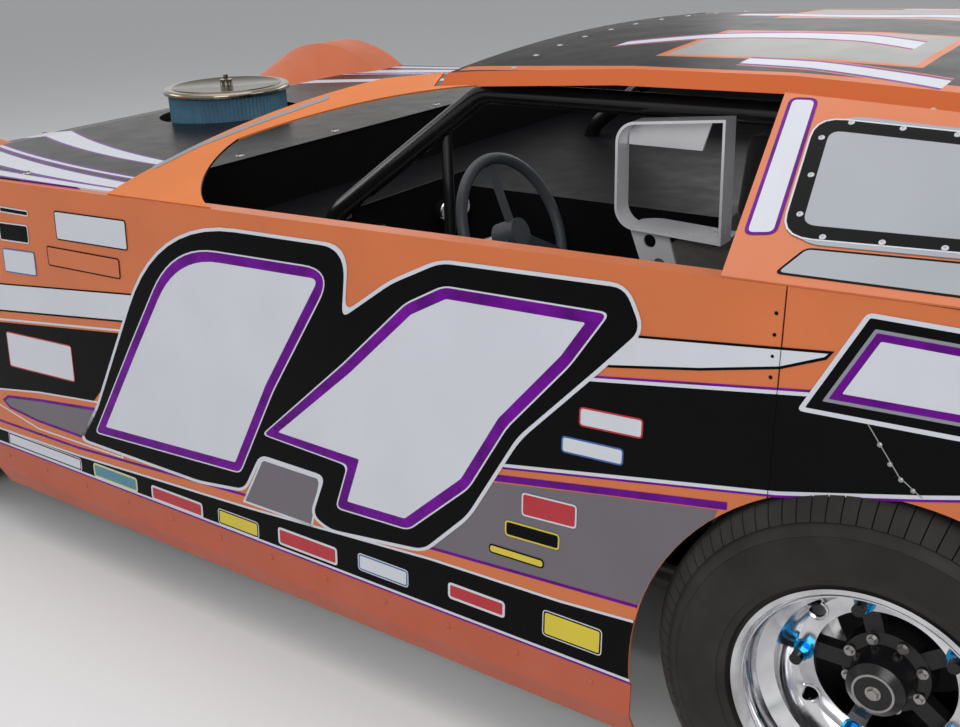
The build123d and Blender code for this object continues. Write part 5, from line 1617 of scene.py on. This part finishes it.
@dataclass
class Springs:
    """Coils wound about the front dampers.

    Attributes:
        radius: Radius of the coil.
        wire: Radius of its wire.
        turns: Number of its turns.
        foot_share: Share of the damper below the coil.
        coil_share: Share of the damper that the coil takes up.
        eye_height: Height of the damper's eye.
    """

    radius: float = 0.0345
    wire: float = 0.0052
    turns: int = 8
    foot_share: float = 0.34
    coil_share: float = 0.46
    eye_height: float = 0.03

    def build(self) -> None:
        """Wind a coil about each damper between its two eyes."""
        for side_name, side in SIDES:
            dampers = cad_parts["coil_overs"].data.vertices
            cloud = [vertex.co for vertex in dampers if vertex.co.y * side > 0]
            low, high = min(spot.z for spot in cloud), max(spot.z for spot in cloud)
            ends = []
            for level in (low, high):
                near = [spot for spot in cloud if abs(spot.z - level) < self.eye_height]
                ends.append(sum(near, Vector()) / len(near))
            axis = ends[1] - ends[0]
            start = ends[0] + axis * self.foot_share
            coil = Piece(f"coil_spring_{side_name}")
            coil.add(self._coil(axis.length * self.coil_share), SPRING_PAINT, aimed(start, axis))
            coil.done(60)

    def _coil(self, length: float) -> bmesh.types.BMesh:
        """Return a helix of wire about the Z axis.

        Args:
            length: Length of the coil.

        Returns:
            The coil.
        """
        shape = bmesh.new()
        section = Matrix.Translation((self.radius, 0, 0)) @ Matrix.Rotation(math.pi / 2, 4, "X")
        ring = bmesh.ops.create_circle(shape, cap_ends=False, segments=8, radius=self.wire, matrix=section)
        steps = self.turns * 20
        edges = list({edge for vertex in ring["verts"] for edge in vertex.link_edges})
        bmesh.ops.spin(shape, geom=[*ring["verts"], *edges], cent=(0, 0, 0), axis=(0, 0, 1),
                       dvec=(0, 0, length / steps), angle=math.tau * self.turns, steps=steps, use_merge=False,
                       use_duplicate=False)
        bmesh.ops.holes_fill(shape, edges=[edge for edge in shape.edges if edge.is_boundary], sides=8)
        bmesh.ops.recalc_face_normals(shape, faces=shape.faces)
        return shape


@dataclass
class Cockpit:
    """Dials of the dash panel."""

    dials: tuple[float, ...] = (0.165, 0.235, 0.480)
    height: float = 0.775
    radius: float = 0.024
    ticks: int = 11
    first_tick: float = 225.0
    tick_step: float = 27.0
    needle: float = 200.0

    def build(self) -> None:
        """Make the dials with their ticks and needles."""
        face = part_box("dash_panel")[0][0]
        piece = Piece("dash_dials", slot="panel_silver")
        for place in self.dials:
            spot = aimed((face - 0.0002, place, self.height), (-1, 0, 0))
            piece.add(turned([(0, 0), (self.radius, 0), (self.radius, 0.001), (0, 0.001)], 32), DIAL, spot)
            rim = [(self.radius, 0), (self.radius + 0.004, 0), (self.radius + 0.003, 0.004),
                   (self.radius, 0.003)]
            piece.add(turned(rim, 32, closed=True), CHROME, spot)
            for index in range(self.ticks):
                turn = math.radians(self.first_tick - index * self.tick_step)
                tick = Matrix.Rotation(turn, 4, "Z") @ Matrix.Translation((self.radius * 0.82, 0, 0.0013))
                piece.add(block((0.005, 0.0008, 0.0004)), BLACK_VINYL, spot @ tick)
            lift = Matrix.Translation((self.radius * 0.35, 0, 0.0018))
            needle = Matrix.Rotation(math.radians(self.needle), 4, "Z") @ lift
            piece.add(block((self.radius * 0.8, 0.0012, 0.0005)), RED_VINYL, spot @ needle)
        piece.done(30)


@dataclass
class Studio:
    """Camera at the photograph's place, soft lamps and a pale floor."""

    eye: tuple[float, float, float] = (-1.71486, 2.45442, 1.49590)
    ahead: tuple[float, float, float] = (0.54425547, -0.75016866, -0.37554356)
    up: tuple[float, float, float] = (0.18829967, -0.32699217, 0.9260774)
    lens: float = 43.04
    lamps: tuple[tuple[str, tuple[float, float, float], tuple[float, float], float], ...] = (
        ("overhead", (0.2, 0.5, 5.0), (6.0, 4.0), 125.0),
        ("left_key", (-2.8, 5.2, 3.2), (3.0, 2.2), 120.0),
        ("front_fill", (5.5, 2.5, 2.6), (3.0, 2.0), 60.0),
        ("right_fill", (0.0, -5.5, 2.8), (4.0, 2.0), 60.0),
        ("rear_fill", (-5.8, -1.5, 2.6), (3.0, 2.0), 60.0),
    )
    target: tuple[float, float, float] = (0.0, 0.0, 0.5)
    backdrop: Colour = (0.80, 0.80, 0.79)
    sky: Colour = (0.92, 0.95, 1.0)
    sky_strength: float = 0.34
    floor_reach: float = 30.0

    def build(self) -> None:
        """Set up the view, the lamps, the floor and the world."""
        scene = bpy.context.scene
        scene.view_settings.view_transform = "Standard"
        self._camera(scene)
        for name, place, size, power in self.lamps:
            lamp = bpy.data.lights.new(name, "AREA")
            lamp.shape, lamp.size, lamp.size_y, lamp.energy = "RECTANGLE", size[0], size[1], power
            holder = bpy.data.objects.new(name, lamp)
            holder.matrix_world = aimed(place, Vector(place) - Vector(self.target))
            scene.collection.objects.link(holder)
        self._floor()
        self._world(scene)

    def _camera(self, scene: bpy.types.Scene) -> None:
        """Place the camera.

        Args:
            scene: Scene that looks through it.
        """
        data = bpy.data.cameras.new("camera")
        data.lens = self.lens
        camera = bpy.data.objects.new("camera", data)
        back, up = -Vector(self.ahead), Vector(self.up)
        right = up.cross(back)
        matrix = Matrix((right, up, back)).transposed().to_4x4()
        camera.matrix_world = Matrix.Translation(self.eye) @ matrix
        scene.collection.objects.link(camera)
        scene.camera = camera

    def _floor(self) -> None:
        """Lay the pale floor."""
        shape = bmesh.new()
        bmesh.ops.create_grid(shape, x_segments=1, y_segments=1, size=self.floor_reach)
        data = bpy.data.meshes.new("studio_floor")
        shape.to_mesh(data)
        shape.free()
        shade = Shade("studio_floor")
        patches = shade.spread(shade.noise(1.5, 4.0), 0.96, 1.0)
        shade.join(shade.blend(patches, tuple(c * 0.9 for c in self.backdrop), self.backdrop),
                   shade.surface.inputs["Base Color"])
        shade.surface.inputs["Roughness"].default_value = 0.7
        data.materials.append(shade.material)
        floor = bpy.data.objects.new("studio_floor", data)
        bpy.context.scene.collection.objects.link(floor)

    def _world(self, scene: bpy.types.Scene) -> None:
        """Light the world softly, and show it as a pale backdrop.

        Args:
            scene: Scene that it surrounds.
        """
        world = bpy.data.worlds.new("studio")
        scene.world = world
        world.use_nodes = True
        tree = world.node_tree
        light = tree.nodes["Background"]
        light.inputs["Color"].default_value = (*self.sky, 1.0)
        light.inputs["Strength"].default_value = self.sky_strength
        shown = tree.nodes.new("ShaderNodeBackground")
        shown.inputs["Color"].default_value = (*self.backdrop, 1.0)
        shown.inputs["Strength"].default_value = 1.0
        path = tree.nodes.new("ShaderNodeLightPath")
        mix = tree.nodes.new("ShaderNodeMixShader")
        seen = path.outputs["Is Camera Ray"]
        for kind in ("Is Glossy Ray", "Is Transmission Ray"):
            either = tree.nodes.new("ShaderNodeMath")
            either.operation = "MAXIMUM"
            tree.links.new(seen, either.inputs[0])
            tree.links.new(path.outputs[kind], either.inputs[1])
            seen = either.outputs[0]
        tree.links.new(seen, mix.inputs[0])
        tree.links.new(light.outputs[0], mix.inputs[1])
        tree.links.new(shown.outputs[0], mix.inputs[2])
        tree.links.new(mix.outputs[0], tree.nodes["World Output"].inputs[0])


@dataclass
class NodeFinishes:
    """Finishes of the car's carried-over pieces."""

    by_name: dict[str, Finish] = field(default_factory=lambda: {
        "nose": NOSE, "fender": BODY, "door": BODY, "quarter": QUARTER, "rockers": ROCKER, "flares": FLARE,
        "hood": HOOD, "rear_deck": GLOSS_BLACK, "a_pillars": PILLAR, "sail": BODY,
        "sail_windows": WINDOW_SHEET, "roof": ROOF, "spoiler": GLOSS_BLACK, "tail_panel": GLOSS_BLACK,
        "frame_rails": FRAME_BLACK, "bumpers": FRAME_BLACK, "roll_cage": CAGE_BLACK,
        "front_clip": FRAME_BLACK, "cockpit_tin": TIN_BLACK, "dash_panel": TIN_BLACK,
        "engine_block": CAST_IRON, "driveshaft": STEEL,
        "air_cleaner": SMOKED_RIM, "air_filter": FILTER, "exhaust": STEEL, "radiator": SHEET_ALUMINIUM,
        "fuel_cell": TANK, "rear_axle": CAST_IRON, "rear_links": STEEL, "front_arms": STEEL,
        "coil_overs": STEEL, "knuckle": STEEL, "rack_housing": CAST_IRON, "steering_rack": STEEL,
        "seat": SEAT_COVER, "seat_cushion": CLOTH, "head_restraint": BRIGHT_SHEET, "head_pad": CLOTH,
        "steering_wheel": GRIP, "steering_column": STEEL, "tyre": RUBBER, "rim": POLISHED, "hub": HUB_BLACK,
    })

    def build(self) -> None:
        """Give each node its finish."""
        for name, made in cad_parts.items():
            family = name
            for suffix in ("_left", "_right", "_front", "_rear"):
                family = family.removesuffix(suffix)
            finish = self.by_name[family]
            made.data.materials.clear()
            made.data.materials.append(finish.material())


def main() -> None:
    """Build the scene in order."""
    builders = (Studio(), NodeFinishes(), SideGraphics(), UpperGraphics(), Tyres(), Wheels(), Upholstery(),
                AirCleanerTrim(), Fasteners(), Springs(), GrilleMesh(), Cockpit())
    for builder in builders:
        builder.build()
        log.info("%s built", type(builder).__name__)


if __name__ == "__main__":
    main()
